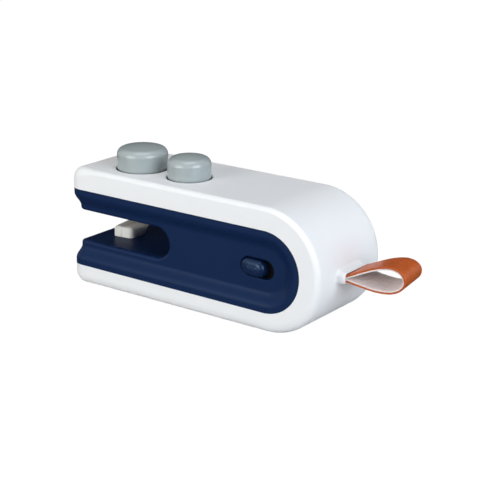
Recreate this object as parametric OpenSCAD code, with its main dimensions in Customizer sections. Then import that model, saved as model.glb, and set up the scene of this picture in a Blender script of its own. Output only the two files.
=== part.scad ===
// Handheld mini bag sealer: a horseshoe body with an open jaw, a sealing button, a cutting button,
// a side switch and a leather wrist loop. Millimetres, +Z up, the origin in the middle of the underside.

/* [Body] */
// Length of the body from the open jaw end to the rounded end
body_l = 108; // [104:1:116]
// Depth of the body from front to back
body_d = 39; // [38:0.5:44]
// Height of the body
body_h = 44; // [43:0.5:48]
// Wall of the white shell
shell_wall = 2; // [1.6:0.1:2.4]
// Width of the white band that frames the dark core
band_w = 8; // [7.5:0.25:9]
// Radius of the shell's outer edges
edge_r = 4; // [3:0.25:4.25]
// Depth of the rear cover from its seam to the back
cover_d = 4.5; // [4.5:0.25:6]

/* [Core] */
// Wall of the dark core
core_wall = 1.6; // [1.2:0.1:2]
// Width of the flush rim round the core
rim_w = 1.7; // [1.5:0.1:2.2]
// Width of the slope between the rim and the recessed panel
slope_w = 5.2; // [4:0.4:5.6]
// Depth of the recessed panel
recess = 2.3; // [1.5:0.1:2.6]
// Depth of the core's front half behind the middle of the body
split_y = 9; // [8.5:0.25:11]

/* [Jaw] */
// Height of the jaw slot
slot_h = 11.2; // [10.5:0.1:12]
// Length of the jaw slot from the open end
slot_l = 44; // [42:0.5:46]
// Distance of the anvil and the sealing head from the middle of the body
mech_y = -3; // [-4:0.25:0]
// Distance of the sealing head from the open end
seal_from_end = 13.8; // [13:0.2:15]
// Width of the anvil block along the body
anvil_w = 7.2; // [6:0.2:8]
// Length of the anvil block across the body
anvil_l = 10; // [8:0.25:11]
// Height of the anvil block, with its soft strip
anvil_h = 4; // [3:0.1:4.4]
// Thickness of the soft strip on the anvil
pad_t = 1.2; // [0.8:0.1:1.6]

/* [Buttons] */
// Distance of the sealing button from the open end
seal_button_from_end = 22.6; // [22:0.1:23]
// Radius of the sealing button
seal_button_r = 9.1; // [8.6:0.1:9.2]
// Distance of the cutting button from the open end
cut_button_from_end = 43.5; // [43:0.1:45]
// Radius of the cutting button
cut_button_r = 7.7; // [7:0.1:8]
// Distance of the buttons' middle line from the middle of the body
button_y = -5.1; // [-5.2:0.1:-4]
// Height of the buttons above the shell
button_h = 8.4; // [7.5:0.1:9]
// Radial gap between a button and its hole
button_gap = 0.45; // [0.3:0.05:0.5]
// Travel of the sealing button
seal_travel = 4.8; // [4:0.1:5.2]
// Travel of the cutting button
cut_travel = 6; // [5:0.1:6.5]

/* [Side switch] */
// Length of the switch's slot in the panel
slide_slot_l = 13.4; // [13:0.2:15]
// Height of the switch's slot
slide_slot_h = 6.8; // [6.5:0.1:8]
// Travel of the switch knob
slide_travel = 1.8; // [1.6:0.1:3]
// Distance of the slot's middle from the centre of the rounded end
slide_from_end = 4.1; // [2:0.1:5]
// Height that the knob stands out of the panel
knob_h = 1.6; // [1.2:0.1:2]

/* [Wrist loop] */
// Width of the strap
strap_w = 13.4; // [12:0.2:16]
// Thickness of the leather
strap_t = 1; // [0.8:0.1:1.4]
// Length of the loop beyond its lug
loop_l = 20; // [18:0.5:26]
// Height of the loop
loop_h = 7.6; // [7:0.2:10]
// Rise of the loop's far end above its root
loop_rise = 3.1; // [0:0.1:4]
// Distance of the strap's middle from the middle of the body
strap_y = -2.1; // [-4:0.1:0]
// Length of the lug outside the shell
lug_out = 3.6; // [2.5:0.1:5]
// Wall of the lug round the strap
lug_wall = 0.8; // [0.6:0.1:1.2]

/* [Power] */
// Diameter of the battery cell
cell_d = 14; // [12:0.5:14.5]
// Length of the battery cell
cell_l = 43; // [38:0.5:44]
// Thickness of the circuit boards
board_t = 1.2; // [0.8:0.1:1.6]

/* [Hidden] */
$fn = 64;
hull_fn = 32;
end_fn = 96;
past = 1;

// Clearances
fit_gap = 0.1;
slide_gap = 0.3;
window_gap = 0.4;
thread_gap = 0.05;
stop_gap = 0.2;

// Body outline
x_left = -body_l / 2;
x_right = body_l / 2;
front_y = -body_d / 2;
back_y = body_d / 2;
mid_z = body_h / 2;
end_r = body_h / 2;
end_x = x_right - end_r;
seam_y = back_y - cover_d;
flange_y = body_d / 2 - shell_wall;

// Case screws and their bosses
boss_r = 2.2;
screw_r = 1;
head_r = 1.7;
head_t = 1.3;
screw_inset = 4.8;
boss_from_end = 5.5;
boss_web = 1.2;
boss_turn = 45;
boss_seat = 2.2;
case_screw_l = 12;
boss_ring = end_r - screw_inset;
BOSSES = [
    [x_left + boss_from_end, body_h - screw_inset, 90],
    [x_left + boss_from_end, screw_inset, -90],
    [end_x + boss_ring * cos(boss_turn), mid_z + boss_ring * sin(boss_turn), boss_turn],
    [end_x + boss_ring * cos(boss_turn), mid_z - boss_ring * sin(boss_turn), -boss_turn]];
screw_seat_y = back_y - boss_seat;

// Core
slope_steps = 8;
corner_steps = 6;
core_inset = band_w + fit_gap;
core_r = end_r - core_inset;
lip_w = band_w - screw_inset - boss_r - fit_gap;
lip_t = 1.6;
core_in_y = body_d / 2 - recess - core_wall;
panel_y = body_d / 2 - recess;
core_in_x = x_left + recess + core_wall;
lip_in_x = x_left + shell_wall + fit_gap;

// Jaw slot
slot_r = slot_h / 2;
slot_cx = x_left + slot_l - slot_r;
slot_end_x = x_left + slot_l;
jaw_top = mid_z - slot_r;
jaw_roof = mid_z + slot_r;
floor_z = jaw_roof + core_wall;
ceiling_z = body_h - shell_wall;

// What the buttons push
seal_x = x_left + seal_button_from_end;
cut_x = x_left + cut_button_from_end;
head_x = x_left + seal_from_end;
plate_t = 2.5;
plate_rim = 1;
plate_top = ceiling_z - slide_gap;
plate_z = plate_top - plate_t;
function plate_r(r) = min(r + plate_rim, core_in_y + button_y - slide_gap);
cap_wall = 1.5;
cap_shoulder = 2;
cap_crown = 0.8;
cap_steps = 6;
stem_r = 2.6;
post_r = 1.4;
post_top = plate_top - fit_gap - slide_gap;
spring_wire_r = 0.3;
spring_room = 0.35;
spring_r = post_r + spring_wire_r + spring_room;
spring_turns = 4;
curl_rings = 8;
tube_sides = 6;
button_screw_l = 6;
seal_post_y = seal_button_r - cap_wall - post_r - slide_gap;
cut_post_y = cut_button_r - cap_wall - post_r - slide_gap;
cut_stop_z = plate_z - head_t - cut_travel - stop_gap;

// Heated head
ptfe_t = 0.25;
ptfe_rise = 1.2;
strip_t = 0.3;
strip_w = 4;
block_side = 0.5;
head_w = anvil_w - 2 * block_side;
head_l = anvil_l - 2 * block_side;
head_z = jaw_top + anvil_h + stop_gap + seal_travel;
block_z = head_z + ptfe_t + strip_t;
block_h = 4;
tab_l = 2.2;
leaf_t = 0.3;
leaf_foot = 3.5;
leaf_top = plate_z - strip_t - seal_travel - stop_gap;
leaf_gap = 0.5;
leaf_y = head_l / 2 + strip_t + leaf_gap;
leaf_bend = leaf_y + tab_l - strip_t - leaf_t;
bar_l = head_l / 2 + strip_t + tab_l;

// Blade
blade_t = 0.5;
blade_w = 9;
blade_bevel = 3;
blade_offset = 6.2;
blade_x = cut_x - blade_offset;
blade_lift = 0.6;
blade_cover = 0.5;
blade_tip = jaw_roof + blade_lift;
blade_top = plate_top - blade_cover;
pin_r = 0.5;
pin_l = 3.6;
pin_z = (plate_z + plate_top) / 2;
shelf_l = 10.5;

// Side switch
slide_x = end_x - slide_from_end;
slide_drop = 0.3;
slide_z = mid_z - slide_drop;
knob_l = slide_slot_l - slide_travel - 2 * slide_gap;
knob_w = slide_slot_h - 2 * slide_gap;
knob_x = slide_x - slide_travel / 2;
knob_out = panel_y + knob_h;
knob_crown = 0.9;
knob_plate_t = 1.3;
knob_plate_over = 1.2;
knob_plate_l = slide_slot_l + slide_travel + knob_plate_over;
lever_w = 2;
lever_depth = 0.8;
can_l = 13;
can_h = 6;
can_t = 3.4;

// Boards
board_gap = 12;
board_x = slot_end_x + board_gap;
board_l = 37;
board_h = 25;
board_front = -(core_in_y - knob_plate_t - slide_gap - lever_depth - can_t);
board_back = board_front + board_t;
board_z = mid_z - board_h / 2;
board_hole_in = 3.2;
post_in_r = 2;
BOARD_HOLES = [
    [board_x + board_hole_in, board_z + board_hole_in],
    [board_x + board_l - board_hole_in, board_z + board_hole_in],
    [board_x + board_l - board_hole_in, board_z + board_h - board_hole_in]];
board_screw_l = 5;
chip_side = 6;
chip_t = 1;
coil_side = 5;
coil_t = 2.6;
chip_from_slide = 7.7;
coil_from_end = 10;
part_up = 5;
chip_x = slide_x - chip_from_slide;
coil_x = board_x + coil_from_end;
part_z = mid_z + part_up;

// Battery
cell_gap = 4;
cell_x = slot_end_x + cell_gap;
cell_room = 2.6;
cell_y = core_in_y - cell_room - cell_d / 2;
cell_lift = 4;
cell_z = shell_wall + cell_lift + cell_d / 2;
cell_tip_r = 2.5;
cell_tip_l = 1;
cradle_from_end = 8;
cradle_x = cell_x + cradle_from_end;
cradle_l = 26;
cradle_side = 1;
cradle_h = 7;
lead_r = 0.6;
lead_sides = 8;

// Charging socket
usb_w = 8.9;
usb_h = 3.2;
usb_l = 4.6;
usb_wall = 0.35;
usb_from_end = 14;
usb_up = 8;
usb_x = end_x - usb_from_end;
usb_z = mid_z + usb_up;
charge_w = 20;
charge_h = 11;
charge_back = panel_y - usb_l;
charge_hole = 7.6;
CHARGE_HOLES = [usb_x - charge_hole, usb_x + charge_hole];
tongue_w = 6.7;
tongue_h = 0.7;

// Strap
strap_z = mid_z;
root_gap = 0.2;
root_x = x_right + lug_out;
root_sep = (strap_t + root_gap) / 2;
strap_tail = 13.5;
loop_steps = 40;
loop_power = 1.5;
loop_peak = 0.702;
lug_in_w = strap_w + 2 * fit_gap;
lug_in_h = 2 * strap_t + root_gap + 2 * fit_gap;
lug_flange_t = 1.8;
lug_flange_over = 1.8;
lug_seat = 0.6;
lug_flange_x = x_right - shell_wall - lug_seat;
rivet_r = 1;
rivet_head_r = 2;
rivet_head_t = 0.7;
rivet_y = 4;
RIVETS = [strap_y - rivet_y, strap_y + rivet_y];
rivet_x = lug_flange_x - lug_flange_t - rivet_head_r - slide_gap;

// Colours
white = [0.93, 0.94, 0.95];
navy = [0.09, 0.15, 0.28];
grey = [0.62, 0.67, 0.68];
tan_leather = [0.66, 0.35, 0.18];
steel = [0.72, 0.73, 0.75];
copper = [0.78, 0.5, 0.32];
green = [0.1, 0.35, 0.22];
dark = [0.12, 0.12, 0.13];
red = [0.7, 0.1, 0.1];
blue = [0.25, 0.45, 0.62];
ivory = [0.88, 0.86, 0.8];
brown = [0.7, 0.55, 0.4];

// Depth of the core's face below its rim at a distance from its outline
function sink(d) = recess * (1 - cos(180 * min(1, max(0, (d - rim_w) / slope_w)))) / 2;
rim_levels = concat([0], [for (i = [0:slope_steps]) rim_w + slope_w * i / slope_steps]);

function unit(v) = v / norm(v);
function tangent(path, i) = unit(path[min(i + 1, len(path) - 1)] - path[max(i - 1, 0)]);

// Least free distance between the turns of a tube along a path, for points at least skip apart
function least_gap(path, r, skip) =
    let (last = len(path) - 1)
    min([for (i = [0:last - skip]) for (j = [i + skip:last]) norm(path[i] - path[j])]) - 2 * r;

// A round tube along a path that never runs straight up
module tube(path, r, sides) {
    n = len(path);
    points = [for (i = [0:n - 1])
        let (t = tangent(path, i), side = unit(cross(t, [0, 0, 1])), up = cross(side, t))
        for (k = [0:sides - 1]) path[i] + r * (cos(360 * k / sides) * side + sin(360 * k / sides) * up)];
    walls = [for (i = [0:n - 2]) for (k = [0:sides - 1])
        let (a = i * sides + k, b = i * sides + (k + 1) % sides)
        each [[a, b, b + sides], [a, b + sides, a + sides]]];
    first = [for (k = [1:sides - 2]) [0, k + 1, k]];
    last = [for (k = [1:sides - 2]) [(n - 1) * sides, (n - 1) * sides + k, (n - 1) * sides + k + 1]];
    polyhedron(points, concat(walls, first, last));
}

// A cylinder along Y between two depths
module y_rod(x, z, r, y0, y1) {
    translate([x, y0, z]) rotate([-90, 0, 0]) cylinder(r = r, h = y1 - y0);
}

// A flat plate with round ends, lying in X and Z, between two depths
module y_oval(x, z, l, w, y0, y1) {
    for (side = [-1, 1]) y_rod(x + side * (l - w) / 2, z, w / 2, y0, y1);
    translate([x - (l - w) / 2, y0, z - w / 2]) cube([l - w, y1 - y0, w]);
}

// A block given by its lowest and highest corners
module block(low, high) {
    translate(low) cube(high - low);
}

// A block between two heights, given by its middle and its sizes in X and Y
module slab(x, y, w, l, z0, z1) {
    block([x - w / 2, y - l / 2, z0], [x + w / 2, y + l / 2, z1]);
}

// A block between two depths, given by its middle and its sizes in X and Z
module upright(x, z, w, h, y0, y1) {
    block([x - w / 2, y0, z - h / 2], [x + w / 2, y1, z + h / 2]);
}

// The body's side outline, drawn in by an inset and cut at the left, between two depths
module outline(inset, left, y0, y1) {
    block([left, y0, inset], [end_x, y1, body_h - inset]);
    y_rod(end_x, mid_z, end_r - inset, y0, y1);
}

// The jaw slot, grown by a wall
module jaw_slot(grow) {
    y0 = front_y - past;
    y1 = back_y + past;
    block([x_left - past, y0, jaw_top - grow], [slot_cx, y1, jaw_roof + grow]);
    y_rod(slot_cx, mid_z, slot_r + grow, y0, y1);
}

module shell_body() {
    hull() {
        for (y = [front_y + edge_r, back_y - edge_r]) {
            translate([end_x, y, mid_z]) rotate([90, 0, 0])
                rotate_extrude($fn = end_fn) translate([end_r - edge_r, 0]) circle(r = edge_r, $fn = hull_fn);
            for (z = [edge_r, body_h - edge_r])
                translate([x_left + edge_r, y, z]) sphere(r = edge_r, $fn = hull_fn);
        }
    }
}

module shell_hollow() {
    outline(shell_wall, x_left + shell_wall, -flange_y, flange_y);
    outline(band_w, x_left - past, front_y - past, back_y + past);
}

module bosses(y0, y1) {
    for (b = BOSSES) {
        y_rod(b[0], b[1], boss_r, y0, y1);
        translate([b[0], y0, b[1]]) rotate([0, -b[2], 0])
            translate([0, 0, -boss_web / 2]) cube([screw_inset - shell_wall / 2, y1 - y0, boss_web]);
    }
}

module outer_shell() {
    color(white) difference() {
        union() {
            difference() {
                shell_body();
                shell_hollow();
            }
            bosses(-flange_y, seam_y + past);
        }
        block([x_left - past, seam_y, -past], [x_right + past, back_y + past, body_h + past]);
        for (b = BOSSES) y_rod(b[0], b[1], screw_r + thread_gap, screw_seat_y - case_screw_l, back_y);
        translate([seal_x, button_y, plate_z]) cylinder(r = seal_button_r + button_gap, h = body_h);
        translate([cut_x, button_y, plate_z]) cylinder(r = cut_button_r + button_gap, h = body_h);
        lug_block(fit_gap);
    }
}

module rear_cover() {
    color(white) difference() {
        union() {
            difference() {
                shell_body();
                shell_hollow();
            }
            bosses(seam_y - past, flange_y);
        }
        block([x_left - past, front_y - past, -past], [x_right + past, seam_y, body_h + past]);
        for (b = BOSSES) {
            y_rod(b[0], b[1], screw_r + thread_gap, seam_y - past, back_y);
            y_rod(b[0], b[1], head_r + fit_gap, screw_seat_y, back_y + past);
        }
    }
}

module case_screws() {
    color(steel) for (b = BOSSES) {
        y_rod(b[0], b[1], screw_r, screw_seat_y - case_screw_l, screw_seat_y);
        y_rod(b[0], b[1], head_r, screw_seat_y, screw_seat_y + head_t);
    }
}

// One level of the straight part of the core: an open-ended outline with two round corners
function core_ring(z, s) = concat(
    [[end_x, front_y + s, z]],
    [for (i = [0:corner_steps]) let (a = 270 - 90 * i / corner_steps)
        [x_left + edge_r + (edge_r - s) * cos(a), front_y + edge_r + (edge_r - s) * sin(a), z]],
    [for (i = [0:corner_steps]) let (a = 180 - 90 * i / corner_steps)
        [x_left + edge_r + (edge_r - s) * cos(a), back_y - edge_r + (edge_r - s) * sin(a), z]],
    [[end_x, back_y - s, z]]);

module core_straight() {
    top = len(rim_levels) - 1;
    rings = concat(
        [for (d = rim_levels) core_ring(core_inset + d, sink(d))],
        [for (i = [0:top]) core_ring(body_h - core_inset - rim_levels[top - i], sink(rim_levels[top - i]))]);
    m = len(rings[0]);
    n = len(rings);
    walls = [for (i = [0:n - 2]) for (k = [0:m - 1])
        let (a = i * m + k, b = i * m + (k + 1) % m)
        each [[a, b, b + m], [a, b + m, a + m]]];
    floor_face = [[for (k = [0:m - 1]) m - 1 - k]];
    roof_face = [[for (k = [0:m - 1]) (n - 1) * m + k]];
    polyhedron([for (r = rings) each r], concat(walls, floor_face, roof_face));
}

module core_end() {
    half = [for (d = rim_levels) [core_r - d, body_d / 2 - sink(d)]];
    profile = concat([[0, body_d / 2 - recess]], [for (i = [0:len(half) - 1]) half[len(half) - 1 - i]],
        [for (p = half) [p[0], -p[1]]], [[0, recess - body_d / 2]]);
    translate([end_x, 0, mid_z]) rotate([-90, 0, 0]) rotate([0, 0, -90])
        rotate_extrude(angle = 180) polygon(profile);
}

// The lip that lies behind the flange of the shell or of the rear cover
module core_lip(y0, y1) {
    difference() {
        outline(band_w - lip_w, lip_in_x, y0, y1);
        outline(core_inset + rim_w / 2, x_left - past, y0 - past, y1 + past);
    }
}

module core_shell(lip_y0, lip_y1) {
    difference() {
        union() {
            core_straight();
            core_end();
            core_lip(lip_y0, lip_y1);
        }
        difference() {
            outline(band_w / 2, core_in_x, -core_in_y, core_in_y);
            jaw_slot(core_wall);
            core_lip(lip_y0, lip_y1);
        }
        jaw_slot(0);
    }
}

module guide_posts(x, dy) {
    root_z = floor_z - core_wall / 2;
    for (side = [-1, 1])
        translate([x, button_y + side * dy, root_z]) cylinder(r = post_r, h = post_top - root_z);
}

module core_front() {
    color(navy) difference() {
        union() {
            difference() {
                core_shell(-flange_y, lip_t - flange_y);
                block([x_left - past, split_y, -past], [x_right + past, back_y + past, body_h + past]);
            }
            block([slot_cx, -core_in_y, jaw_roof], [slot_end_x + shelf_l, split_y, floor_z]);
            guide_posts(seal_x, seal_post_y);
            guide_posts(cut_x, cut_post_y);
            translate([cut_x, button_y, jaw_roof]) cylinder(r = head_r, h = cut_stop_z - jaw_roof);
            for (h = BOARD_HOLES) y_rod(h[0], h[1], post_in_r, -core_in_y, board_front);
        }
        jaw_slot(0);
        head_window();
        slab(blade_x, button_y, blade_t + 2 * window_gap, blade_w + 2 * window_gap, mid_z, floor_z + past);
        anvil_stem(fit_gap);
        for (h = BOARD_HOLES)
            y_rod(h[0], h[1], screw_r + thread_gap, board_back - board_screw_l, board_front + past);
        y_oval(slide_x, slide_z, slide_slot_l, slide_slot_h, front_y, -core_in_y + past);
    }
}

module core_rear() {
    color(navy) difference() {
        union() {
            difference() {
                core_shell(flange_y - lip_t, flange_y);
                block([x_left - past, front_y - past, -past], [x_right + past, split_y, body_h + past]);
            }
            for (x = CHARGE_HOLES) y_rod(x, usb_z, post_in_r, charge_back, core_in_y);
        }
        y_oval(usb_x, usb_z, usb_w + 2 * slide_gap, usb_h + 2 * slide_gap, charge_back, back_y + past);
        for (x = CHARGE_HOLES)
            y_rod(x, usb_z, screw_r + thread_gap, charge_back - past, charge_back + board_screw_l - board_t);
    }
}

// Wrist loop
module lug_tube(wall, x0, x1) {
    w = lug_in_w / 2 + wall;
    h = lug_in_h / 2 + wall;
    block([x0, strap_y - w, strap_z - h], [x1, strap_y + w, strap_z + h]);
}

module lug_block(grow) {
    lug_tube(lug_wall + grow, lug_flange_x - lug_flange_t, root_x + grow);
}

module strap_lug() {
    color(white) difference() {
        union() {
            lug_block(0);
            lug_tube(lug_wall + lug_flange_over, lug_flange_x - lug_flange_t, lug_flange_x);
        }
        lug_tube(0, lug_flange_x - lug_flange_t - past, root_x + past);
    }
}

// Middle line of the loop's leather: out along the top, round the far end and back along the bottom
function loop_point(a) = [
    root_x + loop_l * (1 - cos(a)) / 2,
    strap_z + loop_rise * (1 - cos(a)) / 2
        + (loop_h - strap_t) / 2 / loop_peak * sin(a) * pow(sin(a / 2), loop_power) + root_sep * cos(a / 2)];
strap_path = concat([[root_x - strap_tail, strap_z + root_sep]],
    [for (i = [0:loop_steps]) loop_point(360 * i / loop_steps)],
    [[root_x - strap_tail, strap_z - root_sep]]);
function side_of(path, i) = let (t = tangent(path, i)) [-t[1], t[0]];

module strap() {
    n = len(strap_path) - 1;
    edge_a = [for (i = [0:n]) strap_path[i] + strap_t / 2 * side_of(strap_path, i)];
    edge_b = [for (i = [0:n]) strap_path[n - i] - strap_t / 2 * side_of(strap_path, n - i)];
    color(tan_leather) difference() {
        translate([0, strap_y + strap_w / 2, 0]) rotate([90, 0, 0])
            linear_extrude(strap_w) polygon(concat(edge_a, edge_b));
        for (y = RIVETS) translate([rivet_x, y, 0]) cylinder(r = rivet_r + thread_gap, h = body_h);
    }
}

module strap_rivets() {
    half = strap_t + root_gap / 2 + thread_gap;
    color(steel) for (y = RIVETS) translate([rivet_x, y, strap_z]) {
        translate([0, 0, -half]) cylinder(r = rivet_r, h = 2 * half);
        translate([0, 0, half]) cylinder(r = rivet_head_r, h = rivet_head_t);
        translate([0, 0, -half - rivet_head_t]) cylinder(r = rivet_head_r, h = rivet_head_t);
    }
}

// Anvil
module anvil_stem(grow) {
    w = anvil_w / 2 + 2 * grow;
    l = anvil_l / 2 + 2 * grow;
    slab(head_x, mech_y, w, l, jaw_top - 2 * core_wall, jaw_top + grow);
}

module anvil_base() {
    color(white) union() {
        slab(head_x, mech_y, anvil_w, anvil_l, jaw_top, jaw_top + anvil_h - pad_t);
        anvil_stem(0);
    }
}

module anvil_pad() {
    color(white) slab(head_x, mech_y, anvil_w, anvil_l, jaw_top + anvil_h - pad_t, jaw_top + anvil_h);
}

// A push button's hollow cap, with a screw stem, standing on its carrier
module cap(r) {
    top = body_h + button_h - plate_top;
    side = top - cap_crown - cap_shoulder;
    flat = r - cap_shoulder;
    crown = [for (i = [0:cap_steps]) let (x = flat * i / cap_steps) [x, top - cap_crown * pow(x / flat, 2)]];
    shoulder = [for (i = [1:cap_steps]) let (a = 90 * i / cap_steps)
        [flat + cap_shoulder * sin(a), side + cap_shoulder * cos(a)]];
    inner = r - cap_wall;
    inside = [[r, 0], [inner, 0], [inner, side - cap_wall], [stem_r, side - cap_wall], [stem_r, 0]];
    hole = [[screw_r + thread_gap, 0], [screw_r + thread_gap, button_screw_l], [0, button_screw_l]];
    rotate_extrude() polygon(concat(crown, shoulder, inside, hole));
}

module button(x, r) {
    color(grey) translate([x, button_y, plate_top]) cap(r);
}

module seal_button() {
    button(seal_x, seal_button_r);
}

module cut_button() {
    button(cut_x, cut_button_r);
}

module carrier_holes(x, dy) {
    h = plate_t + 2 * past;
    translate([x, button_y, plate_z - past]) {
        cylinder(r = screw_r + thread_gap, h = h);
        for (side = [-1, 1]) translate([0, side * dy, 0]) cylinder(r = post_r + slide_gap, h = h);
    }
}

module button_screw(x) {
    color(steel) translate([x, button_y, plate_z]) {
        cylinder(r = screw_r, h = button_screw_l);
        translate([0, 0, -head_t]) cylinder(r = head_r, h = head_t);
    }
}

// A pair of springs round the guide posts, each one unbroken coil
function spring_path(x, y) = [for (i = [0:spring_turns * curl_rings])
    let (a = 360 * i / curl_rings, lift = spring_wire_r + thread_gap, rise = plate_z - floor_z - 2 * lift)
    [x + spring_r * cos(a), y + spring_r * sin(a), floor_z + lift + rise * i / (spring_turns * curl_rings)]];

module springs(x, dy) {
    color(steel) for (side = [-1, 1]) tube(spring_path(x, button_y + side * dy), spring_wire_r, tube_sides);
}
spring_gap = least_gap(spring_path(0, 0), spring_wire_r, curl_rings / 2);
echo(str("Least gap of a button spring: ", spring_gap, " mm"));

module seal_button_screw() {
    button_screw(seal_x);
}

module cut_button_screw() {
    button_screw(cut_x);
}

module seal_springs() {
    springs(seal_x, seal_post_y);
}

module cut_springs() {
    springs(cut_x, cut_post_y);
}

// Sealing head
module head_window() {
    l = head_l + 2 * strip_t + 2 * ptfe_t + 2 * window_gap;
    slab(head_x, mech_y, head_w + 2 * window_gap, l, mid_z, floor_z + past);
}

module seal_carrier() {
    color(dark) difference() {
        union() {
            translate([seal_x, button_y, plate_z]) cylinder(r = plate_r(seal_button_r), h = plate_t);
            block([head_x - head_w / 2, mech_y - bar_l, plate_z], [seal_x, mech_y + bar_l, plate_top]);
            slab(head_x, mech_y, head_w, head_l, block_z + block_h, plate_z);
        }
        carrier_holes(seal_x, seal_post_y);
    }
}

module heat_block() {
    color(ivory) slab(head_x, mech_y, head_w, head_l, block_z, block_z + block_h);
}

// A ribbon under the block, up both its sides and out below the carrier
module heating_strip() {
    low = head_z + ptfe_t;
    color(steel) translate([head_x - strip_w / 2, mech_y, 0]) {
        translate([0, -head_l / 2 - strip_t, low]) cube([strip_w, head_l + 2 * strip_t, strip_t]);
        for (side = [0, 1]) mirror([0, side, 0]) {
            translate([0, head_l / 2, low]) cube([strip_w, strip_t, plate_z - low]);
            translate([0, head_l / 2, plate_z - strip_t]) cube([strip_w, tab_l, strip_t]);
        }
    }
}

// A thin sheet over the hot ribbon, turned up on both sides
module ptfe_cover() {
    edge = head_l / 2 + strip_t;
    color(brown) translate([head_x - head_w / 2, mech_y, head_z]) {
        translate([0, -edge - ptfe_t, 0]) cube([head_w, 2 * (edge + ptfe_t), ptfe_t]);
        for (side = [0, 1]) mirror([0, side, 0]) translate([0, edge, 0]) cube([head_w, ptfe_t, ptfe_rise]);
    }
}

module contact_leaves() {
    color(copper) translate([head_x - strip_w / 2, mech_y, 0]) for (side = [0, 1]) mirror([0, side, 0]) {
        translate([0, leaf_bend, floor_z]) cube([strip_w, leaf_foot, leaf_t]);
        translate([0, leaf_bend, floor_z]) cube([strip_w, leaf_t, leaf_top - floor_z]);
        translate([0, leaf_y, leaf_top - leaf_t]) cube([strip_w, leaf_bend - leaf_y + leaf_t, leaf_t]);
    }
}

// Cutter
module blade_carrier() {
    color(dark) difference() {
        translate([cut_x, button_y, plate_z]) cylinder(r = plate_r(cut_button_r), h = plate_t);
        carrier_holes(cut_x, cut_post_y);
        slab(blade_x, button_y, blade_t + fit_gap, blade_w + fit_gap, plate_z - past, blade_top);
        blade_rod(thread_gap);
    }
}

module blade_rod(grow) {
    translate([blade_x, button_y, pin_z]) rotate([0, 90, 0])
        cylinder(r = pin_r + grow, h = pin_l + grow, center = true);
}

module cutter_blade() {
    half = blade_w / 2;
    shoulder = blade_tip + blade_bevel;
    profile = [[-half, blade_top], [-half, shoulder], [0, blade_tip], [half, shoulder], [half, blade_top]];
    color(steel) difference() {
        translate([blade_x - blade_t / 2, button_y, 0]) rotate([90, 0, 90])
            linear_extrude(blade_t) polygon(profile);
        blade_rod(thread_gap);
    }
}

module blade_pin() {
    color(steel) blade_rod(0);
}

// Side switch
module slide_knob() {
    back = -core_in_y + fit_gap;
    color(navy) difference() {
        union() {
            y_oval(knob_x, slide_z, knob_l, knob_w, knob_crown - knob_out, back);
            y_oval(knob_x, slide_z, knob_l - 2 * knob_crown, knob_w - 2 * knob_crown, -knob_out, back);
            y_oval(knob_x, slide_z, knob_plate_l, slide_slot_h + knob_plate_over, back, back + knob_plate_t);
        }
        lever_block(fit_gap);
    }
}

module lever_block(grow) {
    top = -core_in_y + fit_gap + knob_plate_t - lever_depth;
    size = lever_w + 2 * grow;
    upright(knob_x, slide_z, size, size, top - grow, board_front - can_t + lever_depth);
}

module switch_lever() {
    color(dark) lever_block(0);
}

module slide_switch() {
    mouth = board_front - can_t;
    room = lever_w + 2 * slide_gap;
    color(steel) difference() {
        upright(slide_x, slide_z, can_l, can_h, mouth, board_front);
        upright(slide_x, slide_z, room + slide_travel, room, mouth - past, mouth + lever_depth + slide_gap);
    }
}

// Electronics
module main_board() {
    color(green) difference() {
        block([board_x, board_front, board_z], [board_x + board_l, board_back, board_z + board_h]);
        for (h = BOARD_HOLES) y_rod(h[0], h[1], screw_r + thread_gap, board_front - past, board_back + past);
    }
}

module control_chip() {
    color(dark) upright(chip_x, part_z, chip_side, chip_side, board_back, board_back + chip_t);
}

module inductor() {
    color(dark) upright(coil_x, part_z, coil_side, coil_side, board_back, board_back + coil_t);
}

module board_screws() {
    color(steel) for (h = BOARD_HOLES) {
        y_rod(h[0], h[1], screw_r, board_back - board_screw_l, board_back);
        y_rod(h[0], h[1], head_r, board_back, board_back + head_t);
    }
}

module battery_cell() {
    color(blue) translate([cell_x, cell_y, cell_z]) rotate([0, 90, 0]) {
        cylinder(d = cell_d, h = cell_l - cell_tip_l);
        cylinder(r = cell_tip_r, h = cell_l);
    }
}

module battery_cradle() {
    half = cell_d / 2 + cradle_side;
    color(white) difference() {
        slab(cradle_x + cradle_l / 2, cell_y, cradle_l, 2 * half, shell_wall, shell_wall + cradle_h);
        translate([cell_x, cell_y, cell_z]) rotate([0, 90, 0]) cylinder(d = cell_d + fit_gap, h = cell_l);
    }
}

// Routes of the leads: each leaves a terminal and ends on a face of the board
lead_out = 2;
lead_rise = 3;
pad_in = 4;
foot_in = 1;
lead_z = mid_z - foot_in;
lead_up_z = board_z + board_h - board_hole_in;
tip_x = cell_x + cell_l + lead_r;
butt_x = cell_x - lead_r;
cell_side = cell_y - cell_d / 2;
first_pad = board_x + pad_in;
last_pad = board_x + board_l - pad_in;
lead_touch = lead_r / 4;
leaf_end = leaf_bend + leaf_foot - foot_in;
lead_floor = floor_z + lead_r + thread_gap;
lead_from = head_x + strip_w / 2 + thread_gap;
lead_lane = lead_r + slide_gap - core_in_y;
lane_from = seal_x - spring_r - 2 * lead_r;
PLUS_LEAD = [
    [tip_x, cell_y, cell_z],
    [tip_x, cell_y - lead_rise, cell_z + lead_out],
    [tip_x - lead_r, cell_side - lead_out, lead_z - lead_rise],
    [last_pad, board_back + lead_out, lead_z],
    [last_pad, board_back + lead_touch, lead_z]];
MINUS_LEAD = [
    [butt_x, cell_y, cell_z],
    [butt_x, cell_side - lead_r, cell_z],
    [cell_x, cell_side - lead_rise, cell_z + lead_r],
    [first_pad - lead_r, board_back + lead_rise, lead_z],
    [first_pad, board_back + lead_out, lead_z],
    [first_pad, board_back + lead_touch, lead_z]];
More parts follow.
